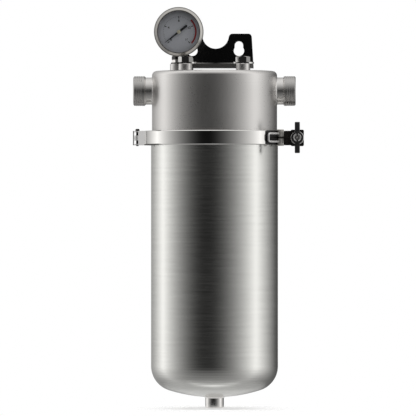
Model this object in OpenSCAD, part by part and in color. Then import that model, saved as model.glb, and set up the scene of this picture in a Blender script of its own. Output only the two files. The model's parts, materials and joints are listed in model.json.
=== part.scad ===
// Stainless water pre-filter housing: hinged band clamp, side ports, pressure gauge and wall bracket.
// The origin is the centre of the drain nipple's lower end. +Z runs up the vessel, -Y faces the viewer.

/* [Bowl] */
// Outside diameter of the bowl
bowl_d = 142; // [134:1:156]
// Wall of the bowl
bowl_wall = 1.5; // [1:0.1:2.5]
// Height of the bowl from the bottom of the dome to the joint face
bowl_h = 290; // [240:1:420]
// Radius of the dome's crown
crown_r = 170; // [150:1:200]
// Radius of the knuckle between dome and wall
knuckle_r = 28; // [22:1:32]

/* [Drain] */
// Outside diameter of the drain nipple, over its thread
drain_d = 20.95; // [18:0.05:27]
// Bore of the drain nipple
drain_bore = 15; // [10:0.5:16]
// Length of the drain nipple below the dome
drain_l = 12.3; // [10:0.1:20]

/* [Head] */
// Outside diameter of the head
head_d = 140; // [134:1:154]
// Wall of the head
head_wall = 2; // [1.5:0.1:3]
// Height of the head from the joint face to its flat top
head_h = 74.9; // [66:0.1:100]
// Radius of the head's top edge
head_edge_r = 5; // [3.5:0.5:8]

/* [Ports] */
// Diameter over the port thread
port_thread_d = 33.25; // [30:0.05:36]
// Length of the port thread
port_thread_l = 12.5; // [10:0.1:16]
// Diameter of the neck behind the thread
port_neck_d = 30.3; // [28:0.1:31]
// Bore of each port
port_bore_d = 25; // [18:0.5:26]
// How far each port stands off the head
port_stand = 20.8; // [18:0.1:30]
// Depth of the port axis below the head's top
port_drop = 22.3; // [20:0.1:26]
// Radius of the weld between neck and head
weld_r = 6; // [3:0.5:7]

/* [Joint and clamp] */
// Width of the joint lips outside the vessel wall
lip_w = 4; // [3:0.1:5]
// Thickness of a joint lip at its rim
lip_t = 2.85; // [2.4:0.05:3.4]
// Slope of the lips' outer flanks
lip_angle = 20; // [15:1:24]
// Length of each joint ring along the vessel
hub_l = 10; // [9:0.5:14]
// Thickness of the joint gasket
gasket_t = 2; // [1.5:0.1:3]
// Height of the clamp band
band_h = 16; // [15:0.5:20]
// Band metal outside the groove
band_wall = 3.7; // [3:0.1:6]
// Gap between the two band halves
split_gap = 4; // [3:0.5:6]

/* [Closing screw] */
// Distance of the screw axis outside the band
screw_off = 13.7; // [12:0.1:18]
// Nominal size of the screw thread
screw_d = 8; // [6:0.5:9]
// Thickness of each lug ear
ear_t = 9; // [7:0.5:11]
// Width of an ear beyond the screw axis
ear_tip = 6.8; // [6:0.1:10]
// Side of the square washer under the handle
washer_side = 14.7; // [14:0.1:18]
// Height of the square washer
washer_h = 18.4; // [16:0.1:20]
// Thickness of the square washer
washer_t = 1.6; // [1:0.1:2.5]
// Diameter of the handle's hub
knob_d = 13.4; // [12:0.1:16]
// Diameter of the bush's collar behind the hub
collar_d = 14.8; // [13.6:0.1:17]
// Thickness of the collar
collar_t = 2.4; // [1.5:0.1:4]
// Span of the handle's two wings
wing_span = 34.6; // [28:0.1:35]
// Width of a wing
wing_w = 5.7; // [4.5:0.1:7]
// Depth of a wing
wing_t = 6; // [4:0.1:7]
// Room between the catch's barrel and the turning wings
wing_gap = 1.5; // [1:0.1:3]

/* [Catch] */
// Angle of the catch's barrel, from the right of the vessel toward the viewer
barrel_angle = 27; // [24:0.5:32]
// Angle that the catch plate covers beyond the barrel
catch_span = 16; // [12:0.5:24]
// Diameter of the barrel
barrel_d = 7.8; // [6:0.1:8.4]
// Thickness of the catch plate
catch_t = 1; // [0.8:0.1:2]
// Thickness of the keeper that stands on the plate inside the loop
keeper_t = 1.6; // [1:0.1:2.2]
// Diameter of the loop's wire
loop_wire = 2.3; // [1.8:0.1:2.8]
// Height over the loop's two legs
loop_h = 11.2; // [9:0.1:13]
// Angle from the barrel to the loop's bend
loop_span = 14.8; // [11:0.2:20]

/* [Band hinge] */
// Distance of the hinge pin outside the band
hinge_off = 7.3; // [7:0.1:9]
// Diameter of the hinge pin
pin_d = 3; // [2.5:0.1:4]
// Outside radius of the hinge knuckles
knuckle_out = 3.6; // [3.4:0.1:4]
// Half height of the middle knuckle
knuckle_half = 2.8; // [2:0.1:3.4]
// Thickness of the rear leaf's ears
leaf_t = 1.4; // [1:0.1:2]

/* [Gauge] */
// Diameter over the gauge's bezel
gauge_d = 55.3; // [50:0.1:63]
// Width of the bezel's front lip
bezel_w = 4.4; // [3:0.1:6]
// Depth of the gauge case
case_depth = 25.6; // [24:0.1:32]
// Height of the gauge centre above the head's top
gauge_rise = 43.7; // [42:0.1:60]
// Distance of the gauge from the vessel axis, to the left
gauge_x = 39.8; // [36:0.1:46]
// Diameter of the gauge's boss
gauge_boss_d = 20; // [18:0.1:24]
// Diameter over the gauge's pipe thread
gauge_thread_d = 13.16; // [12:0.01:14]
// Length of the pointer from its shaft to its tip
pointer_l = 20.4; // [16:0.1:21]

/* [Top fittings] */
// Diameter of the bosses for plugs and bracket bolts
boss_d = 15.5; // [14:0.1:18]
// Height of the bosses under the plugs
boss_h = 8; // [6:0.5:12]
// Height of the bosses under the bracket
bracket_boss_h = 5; // [4:0.5:10]
// Distance of the bosses from the middle, across
boss_x = 32; // [28:0.5:36]
// Distance of the bosses from the middle, front to back
boss_y = 26; // [24:0.5:30]
// Width across the flats of the plugs
plug_af = 14; // [12:0.5:15]
// Height of a plug's hexagon
plug_h = 6.5; // [5:0.5:9]
// Thread size of the plugs
plug_thread_d = 10; // [8:0.5:11]

/* [Wall bracket] */
// Thickness of the bracket's sheet
bracket_t = 4; // [2:0.1:5]
// Width of the bracket at its bend
bracket_w = 86.4; // [80:0.1:100]
// Distance of the wall from the vessel axis
wall_y = 82; // [80:0.5:110]
// Height of the bracket's top above the head
bracket_rise = 44.5; // [42:0.1:60]
// Outer radius of the bend
bend_r = 6.5; // [6:0.5:8]
// Radius of the round notch between the ears
notch_r = 15; // [12:0.1:17]
// Drop from the bracket's top to the centre of the notch
notch_drop = 2; // [0:0.1:4]
// Drop from the bracket's top to the entry of each keyhole
keyhole_drop = 19.4; // [18:0.1:21]
// Distance of each keyhole from the middle
keyhole_x = 26.4; // [25:0.1:30]
// Radius of a keyhole's entry
keyhole_r = 5.9; // [5:0.1:6.5]
// Radius of a keyhole's seat
keyhole_seat_r = 4.8; // [3.5:0.1:4.9]
// Rise from a keyhole's entry to its seat
keyhole_up = 6; // [5:0.1:8]
// Thread size of the bracket's bolts
bolt_d = 8; // [6:0.5:9]

/* [Filter element] */
// Outside diameter of the element's end caps
element_d = 112; // [100:1:122]
// Number of pleats
pleat_count = 40; // [20:1:44]
// Thickness of the pleated mesh
mesh_t = 0.8; // [0.5:0.1:1]
// Diameter of the perforated core
core_d = 68; // [60:1:72]
// Height of the spring under the element
spring_h = 26; // [22:1:36]
// Wire of the spring
spring_wire = 2.5; // [2:0.1:3]

/* [Hidden] */
$fn = 96;
// Facets of a circle that follows another surface closely
fine = 720;
// How far a cutter runs past the face it cuts, and joined shapes run into each other
lap = 1;
// Running gap between band and lips
run_gap = 0.3;
// Radial clearance of a pin or shaft in its bearing
shaft_gap = 0.05;
// Radial clearance of a screwed or pressed-in shank
shank_gap = 0.1;
// Radial clearance of a washer or lug round its screw
washer_gap = 0.2;
// Radial clearance of a bracket hole round its bolt
hole_gap = 0.5;
// Gap between fixed pieces that meet on a curve
fit_gap = 0.1;

// Vessel levels and radii
dome_z = drain_l;
joint_z = dome_z + bowl_h;
top_z = joint_z + head_h;
port_z = top_z - port_drop;
bowl_r = bowl_d / 2;
head_r = head_d / 2;
bowl_in = bowl_r - bowl_wall;
head_in = head_r - head_wall;
port_end = head_r + port_stand;
neck_end = 1;
neck_in = head_in - neck_end;
crossover_wall = 2.5;
crossover_rim = 2;
crossover_r = port_bore_d / 2 + crossover_rim;
crossover_in = crossover_r - crossover_wall;

// Clamp, whose edges stand clear of the vessel's wall by band_gap
band_gap = 0.8;
vessel_r = max(bowl_r, head_r);
flange_r = vessel_r + lip_w;
groove_r = flange_r + run_gap;
band_r = groove_r + band_wall;
band_in = vessel_r + band_gap;
band_chamfer = 0.8;
groove_rim = gasket_t / 2 + lip_t + run_gap;
groove_mouth = groove_rim + (groove_r - band_in) * tan(lip_angle);

// Closing screw, whose axis runs front to back
screw_x = band_r + screw_off;
ear_end = screw_x + ear_tip;
ear_front = split_gap / 2 + ear_t;
thread_depth = 0.7;
screw_root_r = screw_d / 2 - thread_depth;
lug_hole_r = screw_d / 2 + washer_gap;
washer_front = ear_front + washer_t;
collar_front = washer_front + collar_t;
ear_bevel = 1;
ear_root = 5;
tip_back = 1;
insert_wall = 1.3;
insert_r = screw_root_r + insert_wall;

// Catch on the front band half
barrel_r = barrel_d / 2;
barrel_x = (band_r + barrel_r) * cos(barrel_angle);
barrel_y = -(band_r + barrel_r) * sin(barrel_angle);
catch_left = (band_r + catch_t) * cos(barrel_angle + catch_span);
loop_gap = 0.5;
loop_r = band_r + catch_t + loop_wire / 2 + loop_gap;
loop_x = loop_r * cos(barrel_angle + loop_span);
loop_y = -loop_r * sin(barrel_angle + loop_span);
loop_side = loop_h / 2 - loop_wire / 2;
loop_bend = 2.6;
keeper_half = loop_side - loop_wire / 2 - run_gap;
keeper_left = loop_x + loop_wire / 2 + loop_gap;
barrel_over = 1.2;

// Handle, whose wings turn in front of the catch's barrel
wing_start = barrel_r - barrel_y + wing_gap;
hub_face = 1;
knob_end = wing_start + wing_t + hub_face;

// Hinge
hinge_x = -(band_r + hinge_off);
leaf_pad = 1.5;
leaf_back = 1.2;
leaf_back_l = 6;
leaf_back_x = hinge_x - knuckle_out - run_gap - leaf_back;
leaf_root = 2;
leaf_inner = 4;
rear_reach = 14;
rear_pad_l = 18;
front_reach = 9;
front_strip_l = 12;
strip_t = 1;
strip_edge = 5;
ear_low = band_h / 2 - leaf_t;

// Gauge, in its own frame: x right, y up, z to the viewer, stem plane at z = 0
gauge_z = top_z + gauge_rise;
bezel_wall = 1;
case_r = gauge_d / 2 - bezel_wall;
case_wall = 0.8;
case_back = -case_depth / 2;
case_front = case_depth / 2;
window_t = 2;
bezel_lip = 2.4;
bezel_skirt = 5.5;
bezel_slope = 3.2;
bezel_front = case_front + window_t + bezel_lip;
bezel_back = case_front - bezel_skirt;
dial_open_r = gauge_d / 2 - bezel_w;
dial_drop = 5.2;
dial_z = case_front - dial_drop;
dial_t = 0.6;
pointer_gap = 1.6;
pointer_z = dial_z + dial_t + pointer_gap;
pointer_t = 0.5;
shaft_r = 0.6;
gauge_boss_rise = 0.3;
gauge_boss_h = boss_h + gauge_boss_rise;
seal_t = 1.2;
stem_hex_af = 14;
bourdon_r = 19;
bourdon_t = 2;
bourdon_w = 6;
bourdon_tip = 23;
block_w = 14;
block_h = 4;
block_rim = 0.5;
block_rise = 2.5;
block_top = block_h / 2 - bourdon_r + block_rise;
movement_t = 1.2;
movement_r = 10;
movement_w = 14;

// Top fittings
plug_seal_t = 1.2;
seal_rim = 0.9;
washer_r = 12;
bracket_z = top_z + bracket_boss_h;
bracket_top = top_z + bracket_rise;
bolt_washer_t = 1.8;
bolt_af = bolt_d * 1.625;
bolt_head_h = bolt_d * 0.6;

// Bracket
notch_z = bracket_top - notch_drop;
keyhole_z = bracket_top - keyhole_drop;
flange_front = boss_y - washer_r;
flange_corner = 6;
corner_r = 4;
ear_taper = 2.2;

// Filter element, hung from the standpipe's seat
seat_drop = 2.4;
seat_z = joint_z - seat_drop;
standpipe_r = 19;
standpipe_wall = 2;
cap_t = 5;
element_gasket_t = 4;
gasket_half = 5;
spring_r = 30;
floor_z = dome_z + bowl_wall + crown_r - bowl_wall - sqrt(pow(crown_r - bowl_wall, 2) - pow(spring_r, 2));
plate_t = 2;
plate_z = floor_z + spring_h;
element_low = plate_z + plate_t;
element_top = seat_z;
cap_low_z = element_low + element_gasket_t;
cap_high_z = element_top - element_gasket_t - cap_t;
pleat_rim = 2.5;
pleat_out = element_d / 2 - pleat_rim;
pleat_in = core_d / 2 + mesh_t + run_gap;

steel = [0.80, 0.79, 0.77];
brushed = [0.72, 0.72, 0.70];
bright = [0.90, 0.90, 0.89];
black = [0.06, 0.06, 0.06];
dark = [0.16, 0.16, 0.16];
rubber = [0.10, 0.10, 0.11];
brass = [0.78, 0.68, 0.42];
white = [0.86, 0.86, 0.84];

// Points of an arc about [cx, cy] from angle a to angle b
function arc(cx, cy, r, a, b, steps = 8) =
    [for (i = [0:steps]) let (t = a + (b - a) * i / steps) [cx + r * cos(t), cy + r * sin(t)]];

// Ring between two radii, standing on z = 0
module ring(outer, inner, h) {
    difference() {
        cylinder(r = outer, h = h);
        translate([0, 0, -lap]) cylinder(r = inner, h = h + 2 * lap);
    }
}

// Turns a shape so that its z axis points to the viewer, its x stays right and its y points up
module to_front() {
    rotate([90, 0, 0]) children();
}

// Turns a shape so that its z axis points to one side: 1 is right, -1 is left
module to_side(side) {
    rotate([0, side * 90, 0]) children();
}

// Hexagonal prism by its width across the flats, with a flat facing front
module hex(af, h) {
    cylinder(r = af / 2 / cos(30), h = h, $fn = 6);
}

// Half section of a dished bottom with its straight wall, up to the level top
module dish_section(r, crown, knuckle, low, top) {
    knuckle_x = r - knuckle;
    tangent_z = low + crown - sqrt(pow(crown - knuckle, 2) - pow(knuckle_x, 2));
    tilt = asin(knuckle_x / (crown - knuckle));
    polygon(concat(
        arc(0, low + crown, crown, -90, -90 + tilt, 12),
        [for (p = arc(knuckle_x, tangent_z, knuckle, -90 + tilt, 0, 12)) p],
        [[r, top], [0, top]]
    ));
}

module bowl_shell() {
    color(brushed) rotate_extrude(convexity = 4) difference() {
        dish_section(bowl_r, crown_r, knuckle_r, dome_z, joint_z - hub_l);
        dish_section(bowl_in, crown_r - bowl_wall, knuckle_r - bowl_wall, dome_z + bowl_wall, joint_z);
        translate([-lap, 0]) square([drain_bore / 2 + lap, dome_z + knuckle_r]);
    }
}

// Half section of a joint ring, with z measured away from the joint face
module flange_section(tube_r, inner_r) {
    face = gasket_t / 2;
    polygon([
        [inner_r, face], [flange_r, face], [flange_r, face + lip_t],
        [tube_r, face + lip_t + (flange_r - tube_r) * tan(lip_angle)], [tube_r, hub_l], [inner_r, hub_l]
    ]);
}

module bowl_flange() {
    color(brushed) translate([0, 0, joint_z]) mirror([0, 0, 1])
        rotate_extrude() flange_section(bowl_r, bowl_in);
}

module head_flange() {
    color(steel) translate([0, 0, joint_z]) rotate_extrude() flange_section(head_r, head_in);
}

module body_gasket() {
    inner = max(bowl_in, head_in) + run_gap;
    color(rubber) translate([0, 0, joint_z - gasket_t / 2]) ring(flange_r - run_gap, inner, gasket_t);
}

module drain_nipple() {
    r = drain_d / 2;
    foot = 1.6;
    chamfer = 0.8;
    contact_z = dome_z + crown_r - sqrt(crown_r * crown_r - pow(r + foot, 2));
    color(steel) rotate_extrude() difference() {
        polygon(concat(
            [[drain_bore / 2, 0], [r - chamfer, 0], [r, chamfer]],
            arc(r + foot, contact_z - foot, foot, 180, 90, 5),
            [[drain_bore / 2, contact_z]]
        ));
        translate([0, dome_z + crown_r]) circle(r = crown_r, $fn = fine);
    }
}

module head_shell() {
    inner_edge = head_edge_r - head_wall;
    low = joint_z + hub_l;
    hole_z = top_z - head_wall - lap;
    hole_l = head_wall + 2 * lap;
    color(steel) difference() {
        rotate_extrude(convexity = 4) difference() {
            polygon(concat(
                [[0, low], [head_r, low]],
                arc(head_r - head_edge_r, top_z - head_edge_r, head_edge_r, 0, 90, 8),
                [[0, top_z]]
            ));
            polygon(concat(
                [[-lap, low - lap], [head_in, low - lap]],
                arc(head_in - inner_edge, top_z - head_wall - inner_edge, inner_edge, 0, 90, 6),
                [[-lap, top_z - head_wall]]
            ));
        }
        for (side = [-1, 1]) {
            translate([0, 0, port_z]) to_side(side) cylinder(r = port_neck_d / 2, h = head_r + lap);
            translate([side * boss_x, -boss_y, hole_z]) cylinder(d = plug_thread_d, h = hole_l);
            translate([side * boss_x, boss_y, hole_z]) cylinder(d = bolt_d, h = hole_l);
        }
        translate([-gauge_x, 0, hole_z]) cylinder(d = gauge_thread_d, h = hole_l);
    }
}

module inlet_port() {
    port_body(-1);
}

module outlet_port() {
    port_body(1);
}

// A port is its pipe, which passes through the head's wall, and the weld that lies on the wall outside
module port_body(side) {
    neck_r = port_neck_d / 2;
    thread_r = port_thread_d / 2;
    shoulder = port_end - port_thread_l;
    chamfer = 1;
    step = thread_r - neck_r;
    weld_out = sqrt(head_r * head_r - neck_r * neck_r) + weld_r;
    weld_in = sqrt(head_r * head_r - pow(neck_r + weld_r, 2)) - lap;
    weld_root = neck_r - 0.2;
    color(steel) translate([0, 0, port_z]) {
        to_side(side) rotate_extrude() polygon([
            [port_bore_d / 2, neck_in], [neck_r, neck_in],
            [neck_r, shoulder - step], [thread_r, shoulder], [thread_r, port_end - chamfer],
            [thread_r - chamfer, port_end], [port_bore_d / 2, port_end]
        ]);
        difference() {
            to_side(side) rotate_extrude() polygon(concat(
                [[weld_root, weld_in], [neck_r + weld_r, weld_in]],
                arc(neck_r + weld_r, weld_out, weld_r, 270, 180, 8),
                [[weld_root, weld_out]]
            ));
            translate([0, 0, -head_h]) cylinder(r = head_r, h = 2 * head_h);
        }
    }
}

// Pipe across the head, from the outlet port to the standpipe
module outlet_crossover() {
    color(steel) translate([0, 0, port_z]) difference() {
        to_side(1) cylinder(r = crossover_r, h = neck_in);
        to_side(1) translate([0, 0, -lap]) cylinder(r = crossover_in, h = neck_in + 2 * lap);
        translate([0, 0, -head_h]) cylinder(r = standpipe_r, h = 2 * head_h);
    }
}

// Closed pipe in the middle of the head, whose lower edge is the element's seat
module outlet_standpipe() {
    inner = standpipe_r - standpipe_wall;
    top = port_z + crossover_r + standpipe_wall / 2;
    edge = 1.2;
    color(steel) difference() {
        rotate_extrude() polygon([
            [inner, seat_z + edge], [standpipe_r - standpipe_wall / 2, seat_z], [standpipe_r, seat_z + edge],
            [standpipe_r, top], [0, top], [0, top - standpipe_wall], [inner, top - standpipe_wall]
        ]);
        translate([0, 0, port_z]) to_side(1) cylinder(r = crossover_in, h = standpipe_r + lap);
    }
}

// Threaded boss on the head's top
module boss(d, bore, h) {
    chamfer = 0.6;
    color(steel) translate([0, 0, top_z]) rotate_extrude() polygon([
        [bore / 2, 0], [d / 2, 0], [d / 2, h - chamfer], [d / 2 - chamfer, h], [bore / 2, h]
    ]);
}

module gauge_boss() {
    translate([-gauge_x, 0, 0]) boss(gauge_boss_d, gauge_thread_d, gauge_boss_h);
}

module vent_boss_left() {
    translate([-boss_x, -boss_y, 0]) boss(boss_d, plug_thread_d, boss_h);
}

module vent_boss_right() {
    translate([boss_x, -boss_y, 0]) boss(boss_d, plug_thread_d, boss_h);
}

module bracket_boss_left() {
    translate([-boss_x, boss_y, 0]) boss(boss_d, bolt_d, bracket_boss_h);
}

module bracket_boss_right() {
    translate([boss_x, boss_y, 0]) boss(boss_d, bolt_d, bracket_boss_h);
}

// Seal ring under a plug
module vent_seal() {
    color(rubber) translate([0, 0, top_z + boss_h])
        ring(boss_d / 2 - seal_rim, plug_thread_d / 2, plug_seal_t);
}

// Hexagon with its two ends bevelled, standing on z = 0
module bevelled_hex(af, h) {
    corner_r = af / 2 / cos(30);
    reach = corner_r + fit_gap;
    bevel = 0.7;
    intersection() {
        hex(af, h);
        rotate_extrude() polygon([
            [0, 0], [af / 2, 0], [reach, bevel], [reach, h - bevel], [af / 2, h], [0, h]
        ]);
    }
}

// Hexagon plug with its threaded shank
module vent_plug() {
    shank_l = boss_h + plug_seal_t + head_wall;
    head_z = top_z + boss_h + plug_seal_t;
    color(bright) union() {
        translate([0, 0, head_z]) bevelled_hex(plug_af, plug_h);
        translate([0, 0, head_z - shank_l]) cylinder(r = plug_thread_d / 2 - shank_gap, h = shank_l + lap);
    }
}

module vent_seal_left() {
    translate([-boss_x, -boss_y, 0]) vent_seal();
}

module vent_seal_right() {
    translate([boss_x, -boss_y, 0]) vent_seal();
}

module vent_plug_left() {
    translate([-boss_x, -boss_y, 0]) vent_plug();
}

module vent_plug_right() {
    translate([boss_x, -boss_y, 0]) vent_plug();
}

module bracket_washer() {
    color(bright) translate([0, 0, bracket_z + bracket_t])
        ring(washer_r, bolt_d / 2 + washer_gap, bolt_washer_t);
}

module bracket_bolt() {
    head_z = bracket_z + bracket_t + bolt_washer_t;
    shank_l = bracket_boss_h + bracket_t + bolt_washer_t + head_wall;
    color(bright) union() {
        translate([0, 0, head_z]) bevelled_hex(bolt_af, bolt_head_h);
        translate([0, 0, head_z - shank_l]) cylinder(r = bolt_d / 2 - shank_gap, h = shank_l + lap);
    }
}

module bracket_washer_left() {
    translate([-boss_x, boss_y, 0]) bracket_washer();
}

module bracket_washer_right() {
    translate([boss_x, boss_y, 0]) bracket_washer();
}

module bracket_bolt_left() {
    translate([-boss_x, boss_y, 0]) bracket_bolt();
}

module bracket_bolt_right() {
    translate([boss_x, boss_y, 0]) bracket_bolt();
}

// Side section of the bent sheet, with x to the wall and y up
module bracket_section() {
    inner_r = bend_r - bracket_t;
    polygon(concat(
        [[flange_front, bracket_z]],
        arc(wall_y - bend_r, bracket_z + bend_r, bend_r, -90, 0, 8),
        [[wall_y, bracket_top], [wall_y - bracket_t, bracket_top]],
        arc(wall_y - bend_r, bracket_z + bend_r, inner_r, 0, -90, 8),
        [[flange_front, bracket_z + bracket_t]]
    ));
}

// Front outline of the upright plate: two ears beside a round notch
module bracket_outline() {
    half = bracket_w / 2;
    top_half = half - ear_taper;
    difference() {
        polygon(concat(
            [[-half, bracket_z - lap], [half, bracket_z - lap]],
            arc(top_half - corner_r, bracket_top - corner_r, corner_r, 0, 90, 6),
            arc(notch_r + corner_r, bracket_top - corner_r, corner_r, 90, 180, 6),
            [[notch_r, notch_z - fit_gap], [-notch_r, notch_z - fit_gap]],
            arc(-notch_r - corner_r, bracket_top - corner_r, corner_r, 0, 90, 6),
            arc(-top_half + corner_r, bracket_top - corner_r, corner_r, 90, 180, 6)
        ));
        translate([0, notch_z]) circle(r = notch_r);
        for (side = [-1, 1]) translate([side * keyhole_x, keyhole_z]) {
            circle(r = keyhole_r);
            translate([0, keyhole_up]) circle(r = keyhole_seat_r);
            translate([-keyhole_seat_r, 0]) square([2 * keyhole_seat_r, keyhole_up]);
        }
    }
}

module wall_bracket() {
    half = bracket_w / 2;
    color(black) difference() {
        intersection() {
            rotate([90, 0, 90]) translate([0, 0, -half]) linear_extrude(bracket_w) bracket_section();
            translate([0, wall_y + lap, 0]) to_front() linear_extrude(wall_y + lap) bracket_outline();
            translate([0, 0, bracket_z - lap]) linear_extrude(bracket_rise + 2 * lap) polygon(concat(
                [[half + lap, wall_y + lap], [-half - lap, wall_y + lap]],
                arc(-half + flange_corner, flange_front + flange_corner, flange_corner, 180, 270, 6),
                arc(half - flange_corner, flange_front + flange_corner, flange_corner, 270, 360, 6)
            ));
        }
        for (side = [-1, 1]) translate([side * boss_x, boss_y, bracket_z - lap])
            cylinder(r = bolt_d / 2 + hole_gap, h = bracket_t + 2 * lap);
    }
}

// Half section of the clamp band, centred on the joint face
module band_section() {
    h = band_h / 2;
    polygon([
        [band_r - band_chamfer, -h], [band_r, -h + band_chamfer], [band_r, h - band_chamfer],
        [band_r - band_chamfer, h], [band_in, h], [band_in, groove_mouth], [groove_r, groove_rim],
        [groove_r, -groove_rim], [band_in, -groove_mouth], [band_in, -h]
    ]);
}

// One half of the band: -1 is the front half, 1 the rear half
module band_half(side) {
    reach = band_r + lap;
    color(bright) translate([0, 0, joint_z]) intersection() {
        rotate_extrude() band_section();
        translate([-reach, side > 0 ? split_gap / 2 : -split_gap / 2 - reach, -band_h])
            cube([2 * reach, reach, 2 * band_h]);
    }
}

module clamp_rear_band() {
    band_half(1);
}

module clamp_front_band() {
    band_half(-1);
}

// Ear welded to a band half, with a plain hole for the screw
module ear(side, hole_r) {
    near = split_gap / 2;
    root = band_r - ear_root;
    color(dark) translate([0, 0, joint_z]) difference() {
        translate([0, 0, -band_h / 2]) linear_extrude(band_h) difference() {
            scale([1, side]) polygon([
                [root, near], [ear_end - ear_bevel, near], [ear_end, near + ear_bevel],
                [ear_end, ear_front - ear_bevel], [ear_end - ear_bevel, ear_front], [root, ear_front]
            ]);
            circle(r = band_r, $fn = fine);
        }
        translate([screw_x, 0, 0]) to_front() translate([0, 0, -ear_front - lap])
            cylinder(r = hole_r, h = 2 * (ear_front + lap));
    }
}

module rear_lug() {
    ear(1, screw_d / 2);
}

module front_lug() {
    ear(-1, lug_hole_r);
}

// Curved bar on the band between two upright planes, centred on the joint face
module on_band(outer, left, right, half) {
    translate([0, 0, joint_z - half]) intersection() {
        ring(outer, band_r, 2 * half);
        translate([left, -outer, -lap]) cube([right - left, outer + barrel_y, 2 * (half + lap)]);
    }
}

// Plate of the catch, with a grooved keeper inside the loop and a cradle for the barrel
module catch_plate() {
    groove = 0.5;
    outer = band_r + catch_t + keeper_t;
    color(black) difference() {
        union() {
            on_band(band_r + catch_t, catch_left, barrel_x, band_h / 2);
            on_band(outer, keeper_left, barrel_x, keeper_half);
        }
        difference() {
            on_band(outer + lap, keeper_left - lap, barrel_x + lap, groove);
            translate([0, 0, joint_z - band_h]) cylinder(r = outer - keeper_t / 2, h = 2 * band_h);
        }
        translate([barrel_x, barrel_y, joint_z - band_h]) cylinder(r = barrel_r, h = 2 * band_h);
    }
}

// Loop of round wire round the keeper, whose two legs end at the barrel
module catch_loop() {
    wire_r = loop_wire / 2;
    leg_l = norm([barrel_x - loop_x, barrel_y - loop_y]) - loop_bend;
    turn = atan2(barrel_y - loop_y, barrel_x - loop_x);
    color(bright) difference() {
        translate([loop_x, loop_y, joint_z]) rotate([0, 0, turn]) to_front() {
            translate([0, -loop_side + loop_bend, 0]) rotate([-90, 0, 0])
                cylinder(r = wire_r, h = 2 * (loop_side - loop_bend));
            for (side = [-1, 1]) {
                translate([loop_bend, side * loop_side, 0]) to_side(1) cylinder(r = wire_r, h = leg_l);
                translate([loop_bend, side * (loop_side - loop_bend), 0]) rotate([0, 0, 135 - side * 45])
                    rotate_extrude(angle = 90) translate([loop_bend, 0]) circle(r = wire_r);
            }
        }
        translate([barrel_x, barrel_y, joint_z - band_h]) cylinder(r = barrel_r, h = 2 * band_h);
    }
}

module catch_barrel() {
    bevel = 0.6;
    half = band_h / 2 + barrel_over;
    color(brushed) translate([barrel_x, barrel_y, joint_z]) rotate_extrude() polygon([
        [0, -half], [barrel_r - bevel, -half], [barrel_r, -half + bevel],
        [barrel_r, half - bevel], [barrel_r - bevel, half], [0, half]
    ]);
}

// Outline of the rear leaf's ears, seen from above
module rear_ear_outline() {
    difference() {
        union() {
            translate([hinge_x, 0]) circle(r = knuckle_out);
            polygon([
                [leaf_back_x, 0], [leaf_back_x, leaf_back_l], [-band_r + leaf_root, rear_reach],
                [-band_r + leaf_inner, split_gap / 2], [hinge_x + leaf_root, 0]
            ]);
        }
        circle(r = band_r, $fn = fine);
        translate([hinge_x, 0]) circle(r = pin_d / 2);
    }
}

// Rear hinge leaf: two ears that hold the pin, a back strip beside it and a pad on the band
module hinge_leaf_rear() {
    near = split_gap / 2;
    left = -band_r - strip_edge;
    right = -band_r + strip_edge;
    color(steel) translate([0, 0, joint_z]) {
        for (z = [-band_h / 2, ear_low]) translate([0, 0, z]) linear_extrude(leaf_t) rear_ear_outline();
        translate([leaf_back_x, 0, -band_h / 2]) cube([leaf_back, leaf_back_l, band_h]);
        translate([0, 0, -band_h / 2]) linear_extrude(band_h) difference() {
            intersection() {
                circle(r = band_r + leaf_pad, $fn = fine);
                polygon([[left, near], [left, rear_pad_l], [right, rear_pad_l], [right, near]]);
            }
            circle(r = band_r, $fn = fine);
        }
    }
}

// Front hinge leaf: the middle knuckle and a full-height strip on the band
module hinge_leaf_front() {
    near = split_gap / 2;
    color(steel) translate([0, 0, joint_z]) {
        translate([0, 0, -knuckle_half]) linear_extrude(2 * knuckle_half) difference() {
            union() {
                translate([hinge_x, 0]) circle(r = knuckle_out);
                polygon([
                    [hinge_x, -knuckle_out], [-band_r + leaf_root, -front_reach],
                    [-band_r + leaf_inner, -near], [hinge_x + leaf_root, -near]
                ]);
            }
            circle(r = band_r, $fn = fine);
            translate([hinge_x, 0]) circle(r = pin_d / 2 + shaft_gap);
        }
        translate([0, 0, -band_h / 2]) linear_extrude(band_h) difference() {
            polygon([
                [hinge_x + leaf_root, -near], [hinge_x + strip_t, -strip_edge],
                [-band_r + leaf_root, -front_strip_l], [-band_r + strip_edge, -near]
            ]);
            circle(r = band_r, $fn = fine);
            translate([hinge_x, 0]) circle(r = knuckle_out + hole_gap);
        }
    }
}

module hinge_pin() {
    r = pin_d / 2;
    top = band_h / 2;
    cap_r = r + 0.8;
    head_side = 1.6;
    head_h = 2.3;
    tail = 1;
    edge = 0.4;
    color(black) translate([hinge_x, 0, joint_z]) rotate_extrude() polygon([
        [0, -top - tail], [r - edge, -top - tail], [r, -top - tail + edge], [r, top], [cap_r, top],
        [cap_r, top + head_side], [r, top + head_h], [0, top + head_h]
    ]);
}

// Places a shape on the screw's axis, with z to the viewer
module on_screw() {
    translate([screw_x, 0, joint_z]) to_front() children();
}

module screw_washer() {
    bevel = 1;
    x = washer_side / 2;
    y = washer_h / 2;
    color(dark) on_screw() translate([0, 0, ear_front]) linear_extrude(washer_t) difference() {
        polygon([
            [-x + bevel, -y], [x - bevel, -y], [x, -y + bevel], [x, y - bevel],
            [x - bevel, y], [-x + bevel, y], [-x, y - bevel], [-x, -y + bevel]
        ]);
        circle(r = lug_hole_r);
    }
}

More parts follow.
